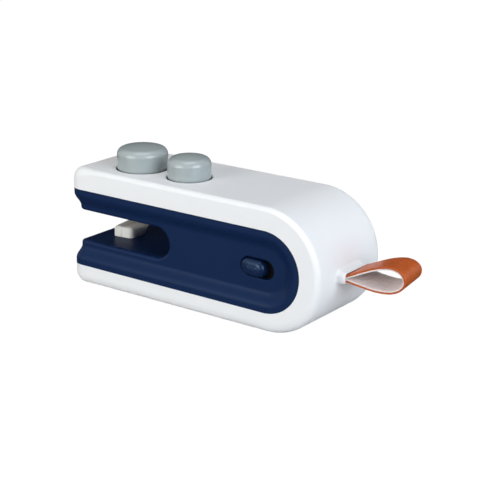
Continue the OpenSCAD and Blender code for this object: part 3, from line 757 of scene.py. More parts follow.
@dataclass(frozen=True)
class Body:
    """Main sizes of the body, shared by the shell, the core and what they hold."""

    left: float = -54.0
    right: float = 54.0
    depth: float = 39.0
    height: float = 44.0
    edge_r: float = 4.0
    rear_edge_r: float = 5.5
    left_edge_r: float = 4.8
    band: float = 8.0
    window_inset: float = 7.78
    window_drop: float = 0.22
    wall: float = 2.0
    seam_y: float = 15.0
    split_y: float = 9.0
    core_gap: float = 0.04
    core_wall: float = 1.6
    rim: float = 1.7
    slope: float = 5.2
    recess: float = 2.3
    slot_low: float = 16.4
    slot_high: float = 27.6
    slot_end: float = -10.0
    mech_y: float = -3.0
    button_y: float = -5.1
    seal_x: float = -31.4
    cut_x: float = -10.1
    head_x: float = -40.2
    floor_z: float = 29.2
    plate_z: float = 39.2
    plate_top: float = 41.7
    end_steps: int = 96
    corner_steps: int = 10
    run_steps: int = 24
    jaw_steps: int = 40

    @property
    def front(self) -> float:
        """Depth of the front face."""
        return -self.depth / 2

    @property
    def back(self) -> float:
        """Depth of the rear face."""
        return self.depth / 2

    @property
    def mid_z(self) -> float:
        """Height of the middle."""
        return self.height / 2

    @property
    def end_r(self) -> float:
        """Radius of the rounded end."""
        return self.height / 2

    @property
    def end_x(self) -> float:
        """Place of the rounded end's centre."""
        return self.right - self.end_r

    @property
    def panel_y(self) -> float:
        """Distance of the recessed panels from the middle."""
        return self.back - self.recess

    @property
    def inner_y(self) -> float:
        """Distance of the core's inner faces from the middle."""
        return self.panel_y - self.core_wall

    @property
    def slot_r(self) -> float:
        """Radius of the jaw slot's end."""
        return (self.slot_high - self.slot_low) / 2

    @property
    def slot_cx(self) -> float:
        """Place of the centre of the jaw slot's end."""
        return self.slot_end - self.slot_r

    def outline(self, inset: float, left: float, corner: float = 0.0) -> list[Flat]:
        """Returns the side outline drawn in by an inset, with round or square left corners.

        Args:
            inset: Distance inside the body's outline.
            left: Where the outline ends on the left.
            corner: Radius of the left corners.

        Returns:
            Points in X and Z.
        """
        top, n = self.height - inset, self.run_steps
        end = arc(self.end_x, self.mid_z, self.end_r - inset, -90, 90, self.end_steps)
        if corner <= 0:
            return [(left, inset), *end, (left, top)]
        low = arc(left + corner, inset + corner, corner, 180, 270, self.corner_steps)
        high = arc(left + corner, top - corner, corner, 90, 180, self.corner_steps)
        run = [low[-1][0] + (self.end_x - low[-1][0]) * (i / n) ** 2 for i in range(1, n)]
        return low + [(x, inset) for x in run] + end + [(x, top) for x in run[::-1]] + high

    def jaw(self, grow: float) -> list[Flat]:
        """Returns the outline of the jaw slot.

        Args:
            grow: Wall by which it is grown.

        Returns:
            Points in X and Z.
        """
        end = arc(self.slot_cx, self.mid_z, self.slot_r + grow, -90, 90, self.jaw_steps)
        open_x = self.left - PAST
        return [(open_x, self.slot_low - grow), *end, (open_x, self.slot_high + grow)]

    def inset_of(self, p: Vector) -> float:
        """Returns how far a point lies inside the top, bottom and round end of the side outline.

        Args:
            p: The point.

        Returns:
            Its distance from the outline.
        """
        if p.x > self.end_x:
            return self.end_r - math.hypot(p.x - self.end_x, p.z - self.mid_z)
        return min(p.z, self.height - p.z)

    def window(self, left: float) -> list[Flat]:
        """Returns the outline of the side opening that shows the core."""
        return [(x, z - self.window_drop) for x, z in self.outline(self.window_inset, left)]

    def on_window(self, p: Vector) -> bool:
        """Says whether a point lies on the outline of the side opening."""
        lifted = Vector((p.x, p.y, p.z + self.window_drop))
        return abs(self.inset_of(lifted) - self.window_inset) < NEAR


@dataclass
class Shell:
    """White horseshoe shell and its rear cover."""

    body: Body
    seal_hole_r: float = 9.55
    cut_hole_r: float = 8.15
    hole_edge: float = 0.2
    hole_steps: int = 128
    boss_r: float = 2.2
    boss_short: float = 0.1
    boss_from_end: float = 5.5
    boss_turn: float = 45.0
    boss_steps: int = 32
    screw_inset: float = 4.8
    screw_seat_y: float = 17.3
    bore_r: float = 1.05
    bore_deep: float = 12.0
    sink_r: float = 1.8
    sink_lip: float = 0.25
    drill_steps: int = 48
    lug_hole: Flat = (14.54, 4.04)
    lug_round: float = 0.38
    lug_y: float = -2.1
    lug_drop: float = 0.4
    lug_deep: float = 6.0
    edge_steps: int = 12
    crisp_r: float = 1.7
    soft_r: float = 4.4
    rear_r: float = 4.4
    left_blend: float = 14.0
    cavity_r: float = 5.0
    opening_edge: float = 0.12
    seam_edge: float = 0.08
    seam_inset: float = 0.05
    seam_left: float = 0.5

    def bosses(self) -> list[Flat]:
        """Returns the places of the four screw bosses.

        Returns:
            Places in X and Z.
        """
        b, t = self.body, math.radians(self.boss_turn)
        ring = b.end_r - self.screw_inset
        x0, x1 = b.left + self.boss_from_end, b.end_x + ring * math.cos(t)
        return [(x0, b.height - self.screw_inset), (x0, self.screw_inset),
                (x1, b.mid_z + ring * math.sin(t)), (x1, b.mid_z - ring * math.sin(t))]

    def ring(self, inset: float) -> list[Flat]:
        """Returns the side outline with its soft left corners.

        Args:
            inset: Distance by which it is drawn in.

        Returns:
            Points in X and Z.
        """
        b = self.body
        left = b.left + inset * b.left_edge_r / b.edge_r
        return b.outline(inset, left, max(LEAST_R, b.left_edge_r - inset))

    def front_r(self, x: float, z: float) -> float:
        """Returns the radius of the front edge, crisp on top and softer below and at the left end.

        Args:
            x: Place along the body.
            z: Height.

        Returns:
            The radius.
        """
        low = 1 - z / self.body.height
        r = self.crisp_r + (self.soft_r - self.crisp_r) * low * low
        return r + (self.body.edge_r - r) * self.nearness(x)

    def nearness(self, x: float) -> float:
        """Returns 1 at the left end, falling softly to 0 further along the body."""
        near = min(1.0, max(0.0, (self.body.left + self.left_blend - x) / self.left_blend))
        return near * near * (3 - 2 * near)

    def slab(self) -> bpy.types.Object:
        """Builds the solid body with soft edges.

        Returns:
            The solid.
        """
        b, turns, base = self.body, quarter(self.edge_steps), self.ring(0.0)
        pull = [(x1 - x0, z1 - z0) for (x0, z0), (x1, z1) in zip(base, self.ring(1.0))]
        fronts = [self.front_r(x, z) for x, z in base]
        rears = [self.rear_r + (b.rear_edge_r - self.rear_r) * self.nearness(x) for x, _ in base]
        rings = []
        for face, inward, radii, order in ((b.front, 1, fronts, turns), (b.back, -1, rears, turns[::-1])):
            for t in order:
                out, deep = 1 - math.sin(t), 1 - math.cos(t)
                rings.append([(x + r * out * dx, face + inward * r * deep, z + r * out * dz)
                              for (x, z), (dx, dz), r in zip(base, pull, radii)])
        return loft("slab", rings)

    def hollow(self) -> bpy.types.Object:
        """Builds the slab with its cavity, its side openings and its bosses.

        Returns:
            The solid.
        """
        b = self.body
        flange_y = b.back - b.wall
        whole = self.slab()
        inside = b.outline(b.wall, b.left + b.wall, self.cavity_r)
        combine(whole, Join.CUT, prism("cavity", inside, -flange_y, flange_y),
                prism("opening", b.window(b.left - PAST), b.front - PAST, b.back + PAST))
        start, length = self.boss_short - flange_y - b.wall / 2, 2 * flange_y + b.wall - 2 * self.boss_short
        rods = [cylinder(f"boss_{i}", (x, start, z), self.boss_r, length, Axis.DEEP, self.boss_steps)
                for i, (x, z) in enumerate(self.bosses())]
        return combine(whole, Join.ADD, *rods)

    def on_opening(self, p: Vector) -> bool:
        """Says whether a point lies on the outer edge of a side opening."""
        b = self.body
        return b.on_window(p) and (abs(p.y) > b.back - b.wall / 2 or p.x < b.left + b.wall / 2)

    def on_seam(self, p: Vector) -> bool:
        """Says whether a point lies on the outer edge of the seam."""
        outer = self.body.inset_of(p) < self.seam_inset or p.x < self.body.left + self.seam_left
        return abs(p.y - self.body.seam_y) < NEAR and outer

    def on_hole(self, p: Vector, x: float, r: float) -> bool:
        """Says whether a point lies on the upper edge of a button's hole."""
        b = self.body
        return p.z > b.height - NEAR and abs(math.hypot(p.x - x, p.y - b.button_y) - r) < NEAR

    def drill(self, name: str, x: float, z: float) -> bpy.types.Object:
        """Builds the solid that cuts a screw's bore and its sunk hole with a flared rim.

        Args:
            name: Name of the object.
            x: Place along the body.
            z: Height.

        Returns:
            The cutting solid.
        """
        deep, wide = self.body.back - self.screw_seat_y, self.sink_r + self.sink_lip
        profile = [(0.0, -self.bore_deep), (self.bore_r, -self.bore_deep), (self.bore_r, 0.0),
                   (self.sink_r, 0.0), (self.sink_r, deep - self.sink_lip), (wide, deep),
                   (wide, deep + PAST), (0.0, deep + PAST)]
        tool = turned(lathe(name, profile, self.drill_steps), Axis.DEEP.value)
        return moved(tool, Matrix.Translation((x, self.screw_seat_y, z)))

    def build(self) -> None:
        """Builds and places the shell and the rear cover."""
        b = self.body
        front = self.hollow()
        front.name = "white_shell"
        rear = twin(front, "white_rear_cover")
        buttons = (("seal_hole", b.seal_x, self.seal_hole_r), ("cut_hole", b.cut_x, self.cut_hole_r))
        drills = [self.drill(f"drill_{i}", x, z) for i, (x, z) in enumerate(self.bosses())]
        holes = [cylinder(name, (x, b.button_y, b.plate_z), r, FAR, Axis.UP, self.hole_steps)
                 for name, x, r in buttons]
        w, h = self.lug_hole
        mouth = round_rect(self.lug_y, b.mid_z - self.lug_drop, w, h, h * self.lug_round)
        lug = loft("lug_hole", [across(x, mouth) for x in (b.right - self.lug_deep, b.right + PAST)])
        combine(rear, Join.KEEP, box("rear_half", (-FAR, b.seam_y, -FAR), (FAR, FAR, FAR)))
        combine(rear, Join.CUT, *[twin(x, f"{x.name}_rear") for x in drills])
        combine(front, Join.KEEP, box("front_half", (-FAR, -FAR, -FAR), (FAR, b.seam_y, FAR)))
        combine(front, Join.CUT, *drills, *holes, lug)
        for part in (front, rear):
            soften(part, self.opening_edge, self.on_opening)
            soften(part, self.seam_edge, self.on_seam, 2)
        for _, x, r in buttons:
            soften(front, self.hole_edge, lambda p, x=x, r=r: self.on_hole(p, x, r), 4)
        place(dress(front, WHITE), "case", "white_shell", "outer_shell")
        place(dress(unfold(rear), WHITE), "case", "white_shell", "rear_cover")


@dataclass
class Core:
    """Dark blue core in two halves, with the jaw, the sloped rim and the recessed panels."""

    body: Body
    slope_steps: int = 20
    corner_steps: int = 14
    end_steps: int = 96
    jaw_edge_r: float = 1.2
    jaw_edge_steps: int = 6
    slide: Oval = (27.9, 21.7, 13.4, 6.8)
    slide_edge: float = 0.35
    socket: Oval = (18.0, 30.0, 9.5, 3.8)
    socket_edge: float = 0.3
    head_window: Flat = (7.0, 10.9)
    blade_window: Flat = (1.3, 9.8)
    blade_x: float = -16.7
    cut_over: float = 1.0
    shelf_end: float = 0.5
    shelf_root: float = 0.2
    shelf_gap: float = 0.05
    post_r: float = 1.4
    post_top: float = 41.3
    post_root: float = 0.8
    post_steps: int = 32
    seal_post_y: float = 5.9
    cut_post_y: float = 4.5

    def sink(self, d: float) -> float:
        """Returns the depth of the face below the rim at a distance from the outline."""
        share = min(1.0, max(0.0, (d - self.body.rim) / self.body.slope))
        return self.body.recess * (1 - math.cos(math.pi * share)) / 2

    def plan(self, s: float) -> list[Flat]:
        """Returns the plan outline, from the front round the left end to the back.

        Args:
            s: Depth by which it is sunk.

        Returns:
            Points in X and Y.
        """
        b = self.body
        corners: list[Flat] = []
        for r, sign, start in ((b.edge_r, -1, 270), (b.rear_edge_r, 1, 180)):
            reach = b.left_edge_r * r / b.edge_r
            corners += [(b.left + reach + (reach - s) * x, sign * (b.back - r) + (r - s) * y)
                        for x, y in arc(0.0, 0.0, 1.0, start, start - 90, self.corner_steps)]
        return [(b.end_x, b.front + s), *corners, (b.end_x, b.back - s)]

    def solid(self) -> bpy.types.Object:
        """Builds the core as one closed solid with its rim and slopes.

        Returns:
            The solid.
        """
        b = self.body
        inset = b.window_inset + b.core_gap
        levels = [0.0] + [b.rim + b.slope * i / self.slope_steps for i in range(self.slope_steps + 1)]
        points: list[Point] = []
        faces: list[list[int]] = []

        def row(new: Sequence[Point]) -> list[int]:
            """Adds points and returns their numbers."""
            points.extend(new)
            return list(range(len(points) - len(new), len(points)))

        tops, lows, fronts, backs = [], [], [], []
        for d in levels:
            s = self.sink(d)
            plan = self.plan(s)
            top = row([(x, y, b.height - inset - d) for x, y in plan])
            low = row([(x, y, inset + d) for x, y in plan])
            bend = arc(b.end_x, b.mid_z, b.end_r - inset - d, 90, -90, self.end_steps)[1:-1]
            front = row([(x, b.front + s, z) for x, z in bend])
            back = row([(x, b.back - s, z) for x, z in bend])
            tops.append(top)
            lows.append(low)
            fronts.append([top[0], *front, low[0]])
            backs.append([top[-1], *back, low[-1]])
        for lines in (tops, lows, fronts, backs):
            for a, c in zip(lines, lines[1:]):
                faces += ribbon(a, c)
        faces += ribbon(tops[-1], lows[-1]) + ribbon(fronts[0], backs[0])
        faces += [fronts[-1], backs[-1], tops[0], lows[0]]
        return moved(mesh_object("core", points, faces), Matrix.Translation((0.0, 0.0, -b.window_drop)))

    def on_jaw(self, p: Vector) -> bool:
        """Says whether a point lies on the outer edge of the jaw slot.

        Args:
            p: The point.

        Returns:
            True on the edge.
        """
        b = self.body
        flat = min(abs(p.z - b.slot_low), abs(p.z - b.slot_high)) < NEAR / 2 and p.x < b.slot_cx + NEAR
        round_end = abs(math.hypot(p.x - b.slot_cx, p.z - b.mid_z) - b.slot_r) < NEAR / 2
        outer = abs(p.y) > b.inner_y + b.core_wall / 2 or p.x < b.left + b.recess + b.core_wall / 2
        return outer and (flat or (round_end and p.x > b.slot_cx - NEAR))

    def on_oval(self, p: Vector, sizes: Oval, y: float) -> bool:
        """Says whether a point lies on the edge of an oval hole in a panel.

        Args:
            p: The point.
            sizes: Middle in X and Z, length and width of the hole.
            y: Depth of the panel.

        Returns:
            True on the edge.
        """
        cx, cz, length, width = sizes
        dx = max(0.0, abs(p.x - cx) - (length - width) / 2)
        return abs(p.y - y) < NEAR and abs(math.hypot(dx, p.z - cz) - width / 2) < 2 * NEAR

    def build(self) -> None:
        """Builds and places the two halves."""
        b = self.body
        inner = b.left + b.recess + b.core_wall
        cavity = prism("cavity", b.outline(b.band / 2, inner), -b.inner_y, b.inner_y)
        combine(cavity, Join.CUT, prism("jaw_wall", b.jaw(b.core_wall), -FAR, FAR))
        whole = combine(self.solid(), Join.CUT, cavity, prism("jaw", b.jaw(0.0), -FAR, FAR))
        soften(whole, self.jaw_edge_r, self.on_jaw, self.jaw_edge_steps)
        rear = twin(whole, "navy_core_rear")
        whole.name = "navy_core_front"
        combine(whole, Join.KEEP, box("front_half", (-FAR, -FAR, -FAR), (FAR, b.split_y, FAR)))
        combine(rear, Join.KEEP, box("rear_half", (-FAR, b.split_y, -FAR), (FAR, FAR, FAR)))
        self.front_details(whole)
        self.rear_details(rear)
        place(dress(whole, NAVY), "case", "navy_core", "core_front")
        place(dress(rear, NAVY), "case", "navy_core", "core_rear")

    def front_details(self, half: bpy.types.Object) -> None:
        """Adds the shelf and the guide posts, and cuts the windows and the switch slot.

        Args:
            half: Front half of the core.
        """
        b = self.body
        shelf = box("shelf", (b.slot_cx, -b.inner_y - self.shelf_root, b.slot_high + self.shelf_gap),
                    (self.shelf_end, b.split_y - NEAR, b.floor_z + NEAR))
        low, length = b.floor_z - self.post_root, self.post_top - b.floor_z + self.post_root
        posts = [cylinder(f"post_{x}_{side}", (x, b.button_y + side * dy, low), self.post_r, length, Axis.UP,
                          self.post_steps)
                 for x, dy in ((b.seal_x, self.seal_post_y), (b.cut_x, self.cut_post_y)) for side in (-1, 1)]
        combine(half, Join.ADD, shelf, *posts)
        top = b.floor_z + self.cut_over
        windows = [box(name, (x - w / 2, y - l / 2, b.mid_z), (x + w / 2, y + l / 2, top))
                   for name, x, y, (w, l) in (("head_window", b.head_x, b.mech_y, self.head_window),
                                              ("blade_window", self.blade_x, b.button_y, self.blade_window))]
        slot = prism("switch_slot", oval(*self.slide), b.front - PAST, self.cut_over - b.inner_y)
        combine(half, Join.CUT, *windows, slot)
        soften(half, self.slide_edge, lambda p: self.on_oval(p, self.slide, -b.panel_y))

    def rear_details(self, half: bpy.types.Object) -> None:
        """Cuts the charging hole.

        Args:
            half: Rear half of the core.
        """
        b = self.body
        hole = prism("socket_hole", oval(*self.socket), b.inner_y - self.cut_over, b.back + PAST)
        combine(half, Join.CUT, hole)
        soften(half, self.socket_edge, lambda p: self.on_oval(p, self.socket, b.panel_y))


@dataclass
class Button:
    """A grey push button: a hollow cap with a rounded shoulder and a shallow crown."""

    body: Body
    name: str
    ride_on: str
    node: str
    x: float
    r: float
    proud: float = 8.4
    shoulder: float = 2.0
    crown: float = 0.8
    wall: float = 1.5
    foot: float = 0.15
    neck: float = 0.3
    neck_top: float = 0.35
    stem_r: float = 2.6
    bore_r: float = 1.05
    bore_l: float = 6.0
    steps: int = 16
    turn_steps: int = 128
    sharp: float = 50.0

    def profile(self) -> list[Flat]:
        """Returns the cap's profile, from the crown's top to the bore's end.

        Returns:
            Radii and heights.
        """
        top = self.body.height + self.proud - self.body.plate_top
        flat, n = self.r - self.shoulder, self.steps
        crown = [(flat * i / n, top - self.crown * (i / n) ** 2) for i in range(n + 1)]
        tilt = math.atan2(2 * self.crown, flat)
        bend_r = self.shoulder / (1 - math.sin(tilt))
        middle = top - self.crown - bend_r * math.cos(tilt)
        bend = arc(self.r - bend_r, middle, bend_r, 90 - math.degrees(tilt), 0, n)[1:]
        inner, roof = self.r - self.wall, middle - self.wall / 2
        step, low_r = self.body.height + self.neck_top - self.body.plate_top, self.r - self.neck
        skirt = [(self.r, step), (self.r - self.neck / 3, step - self.foot), (low_r, step - self.foot),
                 (low_r, self.foot), (low_r - self.foot, 0.0), (inner, 0.0), (inner, roof)]
        stem = [(self.stem_r, roof), (self.stem_r, 0.0), (self.bore_r, 0.0), (self.bore_r, self.bore_l),
                (0.0, self.bore_l)]
        return crown + bend + skirt + stem

    def build(self) -> None:
        """Builds and places the cap."""
        spot = (self.x, self.body.button_y, self.body.plate_top)
        cap = moved(lathe(self.name, self.profile(), self.turn_steps), Matrix.Translation(spot))
        place(dress(cap, GREY, self.sharp), self.ride_on, "grey_button", self.node)


@dataclass
class Anvil:
    """White block on the lower jaw, whose soft top strip spreads toward the back."""

    body: Body
    foot: tuple[Flat, Flat, Flat, Flat] = ((-44.5, -6.8), (-36.6, -6.2), (-36.6, 2.4), (-44.5, 2.4))
    crown: tuple[Flat, Flat, Flat, Flat] = ((-44.4, -6.7), (-36.5, -6.0), (-34.4, 2.9), (-45.4, 2.9))
    corners: tuple[float, float, float, float] = (0.8, 1.8, 1.2, 1.2)
    corner_least: float = 0.1
    spread: float = 1.6
    steps: int = 6
    top: float = 20.4
    pad_t: float = 1.2
    edge: float = 1.15
    foot_edge: float = 0.15
    joint_edge: float = 0.05
    rises: Flat = (1.0, 2.0)
    stem: Point = (3.6, 5.0, 3.2)
    stem_over: float = 0.5
    groove_share: float = 0.5
    groove_w: float = 0.7
    groove_d: float = 0.4
    groove_l: float = 9.0
    groove_steps: int = 24
    channel_d: float = 0.2
    channel_l: float = 12.0
    run_in: float = 1.0

    def ring(self, z: float, inset: float) -> list[Point]:
        """Returns the outline at a height, between the foot and the crown.

        Args:
            z: Height.
            inset: Distance by which it is drawn in.

        Returns:
            Points of the outline with round corners.
        """
        low = self.body.slot_low
        share = max(0.0, (z - low) / (self.top - low)) ** self.spread
        ring: list[Point] = []
        for turn, (a, c, (sx, sy), corner) in enumerate(zip(self.foot, self.crown, QUADRANTS, self.corners)):
            r = max(self.corner_least, corner - inset)
            mid = [(1 - share) * a[i] + share * c[i] + sign * (inset + r) for i, sign in enumerate((sx, sy))]
            ring += [(x, y, z) for x, y in arc(*mid, r, 180 + 90 * turn, 270 + 90 * turn, self.steps)]
        return ring

    def build(self) -> None:
        """Builds and places the block and the strip."""
        b = self.body
        low, joint, soft = b.slot_low, self.top - self.pad_t, self.joint_edge
        levels = [(low, self.foot_edge), (low + self.foot_edge, 0.0), *[(low + r, 0.0) for r in self.rises],
                  (joint - soft, 0.0), (joint, soft)]
        base = loft("anvil_block", [self.ring(z, d) for z, d in levels])
        w, l, h = self.stem
        combine(base, Join.ADD, box("stem", (b.head_x - w / 2, b.mech_y - l / 2, low - h),
                                    (b.head_x + w / 2, b.mech_y + l / 2, low + self.stem_over)))
        bend = [(self.top - self.edge * (1 - math.sin(t)), self.edge * (1 - math.cos(t)))
                for t in quarter(self.steps)]
        pad = loft("anvil_strip", [self.ring(z, d) for z, d in ((joint, soft), (joint + soft, 0.0), *bend)])
        (x0, y0), (x1, y1) = self.foot[:2]
        x, face = x0 + (x1 - x0) * self.groove_share, y0 + (y1 - y0) * self.groove_share
        for part in (base, pad):
            start = (x, face - self.groove_w + self.groove_d, low - self.run_in)
            rod = cylinder("groove", start, self.groove_w, self.groove_l, Axis.UP, self.groove_steps)
            combine(part, Join.CUT, rod)
        start = (x, y0 - self.run_in, self.top - self.channel_d + self.groove_w)
        channel = cylinder("channel", start, self.groove_w, self.channel_l, Axis.DEEP, self.groove_steps)
        combine(pad, Join.CUT, channel)
        place(dress(base, ANVIL), "case", "white_anvil", "anvil_base")
        place(dress(pad, SILICONE), "case", "white_silicone", "anvil_pad")


@dataclass
class Knob:
    """Domed oval knob of the side switch, with its guide plate and its grip marks."""

    body: Body
    x: float = 26.5
    z: float = 21.6
    length: float = 10.0
    width: float = 6.2
    proud: float = 1.6
    edge: float = 2.3
    rise: float = 1.7
    crown: float = 0.12
    crown_share: float = 0.98
    tilt: float = 0.3
    dome_steps: int = 14
    crown_steps: int = 6
    ring_steps: int = 24
    plate: Flat = (16.4, 8.0)
    plate_t: float = 1.3
    plate_gap: float = 0.1
    plate_edge: float = 0.2
    ridges: int = 3
    ridge_step: float = 1.25
    ridge_l: float = 1.5
    ridge_r: float = 0.2
    ridge_sunk: float = 0.55
    ridge_lean: float = 35.0
    ridge_steps: int = 6

    def build(self) -> None:
        """Builds and places the dome, its guide plate, painted matt black as shade in the gap round the knob,
        and its grip marks.
        """
        out, seat = self.body.panel_y + self.proud, self.body.inner_y - self.plate_gap
        levels = [(0.0, seat)]
        levels += [(self.edge * (1 - math.cos(t)), out - self.crown - self.rise * (1 - math.sin(t)))
                   for t in quarter(self.dome_steps)]
        flat, n = (self.width / 2 - self.edge) * self.crown_share, self.crown_steps
        levels += [(self.edge + flat * i / n, out - self.crown * (1 - i / n) ** 2) for i in range(1, n + 1)]
        rings = self.rings([(self.length - 2 * d, self.width - 2 * d, y) for d, y in levels])
        dome = loft("switch_knob", [[self.tilted(p) for p in ring] for ring in rings])
        place(dress(dome, KNOB_NAVY), "switch_body", "navy_core", "slide_knob")
        # The guide plate is painted matt black, so that the gap round the knob shows painted shade.
        (w, h), soft, low = self.plate, self.plate_edge, seat - self.plate_t
        plate = loft("switch_plate", self.rings([
            (w - 2 * soft, h - 2 * soft, low), (w, h, low + soft), (w, h, seat - soft),
            (w - 2 * soft, h - 2 * soft, seat - NEAR)]))
        place(dress(plate, BLACK), "switch_body", "navy_core")
        self.grip(out)

    def tilted(self, p: Point) -> Point:
        """Lets the part that stands proud rise toward the right end.

        Args:
            p: Point of the level knob.

        Returns:
            Its final place.
        """
        panel = -self.body.panel_y
        share = 1 + self.tilt * (p[0] - self.x) / (self.length / 2)
        return (p[0], panel + (p[1] - panel) * share if p[1] < panel else p[1], p[2])

    def rings(self, stations: Sequence[Point]) -> list[list[Point]]:
        """Returns oval rings for lengths, widths and distances from the middle."""
        return [[(x, -y, z) for x, z in oval(self.x, self.z, l, w, self.ring_steps)] for l, w, y in stations]

    def grip(self, out: float) -> None:
        """Builds and places the slanted grip marks.

        Args:
            out: Distance of the knob's top from the middle of the body.
        """
        first = self.x - self.ridge_step * (self.ridges - 1) / 2
        spots = [self.tilted((first + i * self.ridge_step, -out + self.ridge_r * self.ridge_sunk, self.z))
                 for i in range(self.ridges)]
        half, n = self.ridge_l / 2 - self.ridge_r, 4 * self.ridge_steps
        low = [(-half - self.ridge_r * math.cos(t), self.ridge_r * math.sin(t))
               for t in quarter(self.ridge_steps)]
        capsule = low + [(-z, r) for z, r in low[::-1]]
        mark = loft("mark", [[(x, y, z) for x, y in arc(0, 0, max(NEAR, r), 0, 360 - 360 / n, n - 1)]
                             for z, r in capsule])
        moved(turned(mark, 90), Matrix.Rotation(math.radians(self.ridge_lean), 4, "Z"))
        marks = copies("switch_marks", mark, spots, (0.0, -1.0, 0.0), KNOB_NAVY, 0.0)
        place(dress(marks, KNOB_NAVY), "switch_body", "navy_core")


@dataclass
class Screws:
    """A set of pan-head screws with a cross recess."""

    name: str
    node: str
    ride_on: str
    spots: Sequence[Point]
    toward: Point
    length: float
    head_r: float = 1.7
    head_t: float = 1.3
    dome_share: float = 0.55
    shank_r: float = 1.0
    plain: float = 0.1
    pitch: float = 0.5
    thread: float = 0.12
    arm_share: float = 0.62
    slot_share: float = 0.2
    deep_share: float = 0.6
    cut_over: float = 1.0
    steps: int = 32

    def pattern(self) -> bpy.types.Object:
        """Builds one screw, with the seat of its head at the origin.

        Returns:
            The screw.
        """
        core = self.shank_r - self.thread
        shank: list[Flat] = [(self.shank_r, -self.plain)]
        for i in range(int((self.length - self.shank_r) / self.pitch)):
            z = -self.plain - i * self.pitch
            shank += [(core, z - self.pitch / 2), (self.shank_r, z - self.pitch)]
        edge = self.head_t * self.dome_share
        turns = [math.radians(a) for a in range(84, -1, -12)]
        head = [(self.head_r * math.cos(t), self.head_t - edge + edge * math.sin(t)) for t in turns]
        profile = [(0.0, self.head_t), *head, (self.head_r, 0.0), *shank, (0.0, -self.length)]
        screw = lathe("screw", profile, self.steps)
        arm, width = self.head_r * self.arm_share, self.head_r * self.slot_share
        floor, top = self.head_t - self.head_t * self.deep_share, self.head_t + self.cut_over
        for x, y in ((arm, width), (width, arm)):
            combine(screw, Join.CUT, box("recess", (-x, -y, floor), (x, y, top)))
        return screw

    def build(self) -> None:
        """Builds and places the set."""
        made = copies(self.name, self.pattern(), self.spots, self.toward, STEEL)
        place(dress(made, STEEL, CRISP), self.ride_on, "steel", self.node)


@dataclass
class Rivets:
    """Two rivets that hold the ends of the strap inside the body."""

    spots: Sequence[Point]
    head_r: float = 2.0
    head_t: float = 0.7
    shank_r: float = 1.0
    half: float = 1.15
    steps: int = 32

    def build(self) -> None:
        """Builds and places the rivets."""
        turns = [math.radians(a) for a in range(80, -1, -10)]
        dome = [(self.head_r * math.cos(t), self.half + self.head_t * math.sin(t)) for t in turns]
        top = [(0.0, self.half + self.head_t), *dome, (self.shank_r, self.half)]
        rivet = lathe("rivet", top + [(r, -z) for r, z in top[::-1]], self.steps)
        made = copies("strap_rivet_pair", rivet, self.spots, (0.0, 0.0, 1.0), STEEL)
        place(dress(made, STEEL, CRISP), "case", "steel", "strap_rivets")


@dataclass
class Springs:
    """Two compression springs under a button, wound by geometry nodes."""

    body: Body
    name: str
    node: str
    joint: str
    spots: Sequence[Flat]
    travel: float
    coil_r: float = 2.05
    wire_r: float = 0.3
    turns: float = 6.0
    gap: float = 0.05
    coil_steps: int = 32
    wire_steps: int = 12
    sharp: float = 60.0

    def rule(self, rise: float) -> Rule:
        """Returns the tree of a spring whose end turns lie close.

        Args:
            rise: Height of the wire's middle line.

        Returns:
            The tree's description.
        """
        return Rule(
            f"{self.name}_coil",
            {"Turns": ("Float", self.turns), "Coil Radius": ("Float", self.coil_r),
             "Wire Radius": ("Float", self.wire_r), "Rise": ("Float", rise),
             "Finish": ("Material", STEEL.material())},
            {"spiral": "GeometryNodeCurveSpiral", "along": "GeometryNodeSplineParameter",
             "ease": "ShaderNodeMapRange", "where": "GeometryNodeInputPosition",
             "split": "ShaderNodeSeparateXYZ", "join": "ShaderNodeCombineXYZ",
             "shift": "GeometryNodeSetPosition", "ring": "GeometryNodeCurvePrimitiveCircle",
             "sweep": "GeometryNodeCurveToMesh"},
            (("ease", "interpolation_type", "SMOOTHSTEP"),),
            (("spiral", "Resolution", self.coil_steps), ("ring", "Resolution", self.wire_steps),
             ("sweep", "Fill Caps", True)),
            (("start", "Turns", "spiral", "Rotations"), ("start", "Coil Radius", "spiral", "Start Radius"),
             ("start", "Coil Radius", "spiral", "End Radius"), ("start", "Rise", "spiral", "Height"),
             ("along", "Factor", "ease", "Value"), ("start", "Rise", "ease", "To Max"),
             ("where", "Position", "split", "Vector"), ("split", "X", "join", "X"),
             ("split", "Y", "join", "Y"), ("ease", "Result", "join", "Z"),
             ("spiral", "Curve", "shift", "Geometry"), ("join", "Vector", "shift", "Position"),
             ("shift", "Geometry", "sweep", "Curve"), ("start", "Wire Radius", "ring", "Radius"),
             ("ring", "Curve", "sweep", "Profile Curve"), ("sweep", "Mesh", "spread", "Instance")))

    def build(self) -> None:
        """Builds and places the two springs."""
        b = self.body
        low, rise = b.floor_z + self.wire_r + self.gap, b.plate_z - b.floor_z - 2 * (self.wire_r + self.gap)
        made = self.rule(rise).grow(self.name, [(x, y, low) for x, y in self.spots])
        place(dress(made, STEEL, self.sharp), "case", "steel", self.node)
        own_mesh(made)


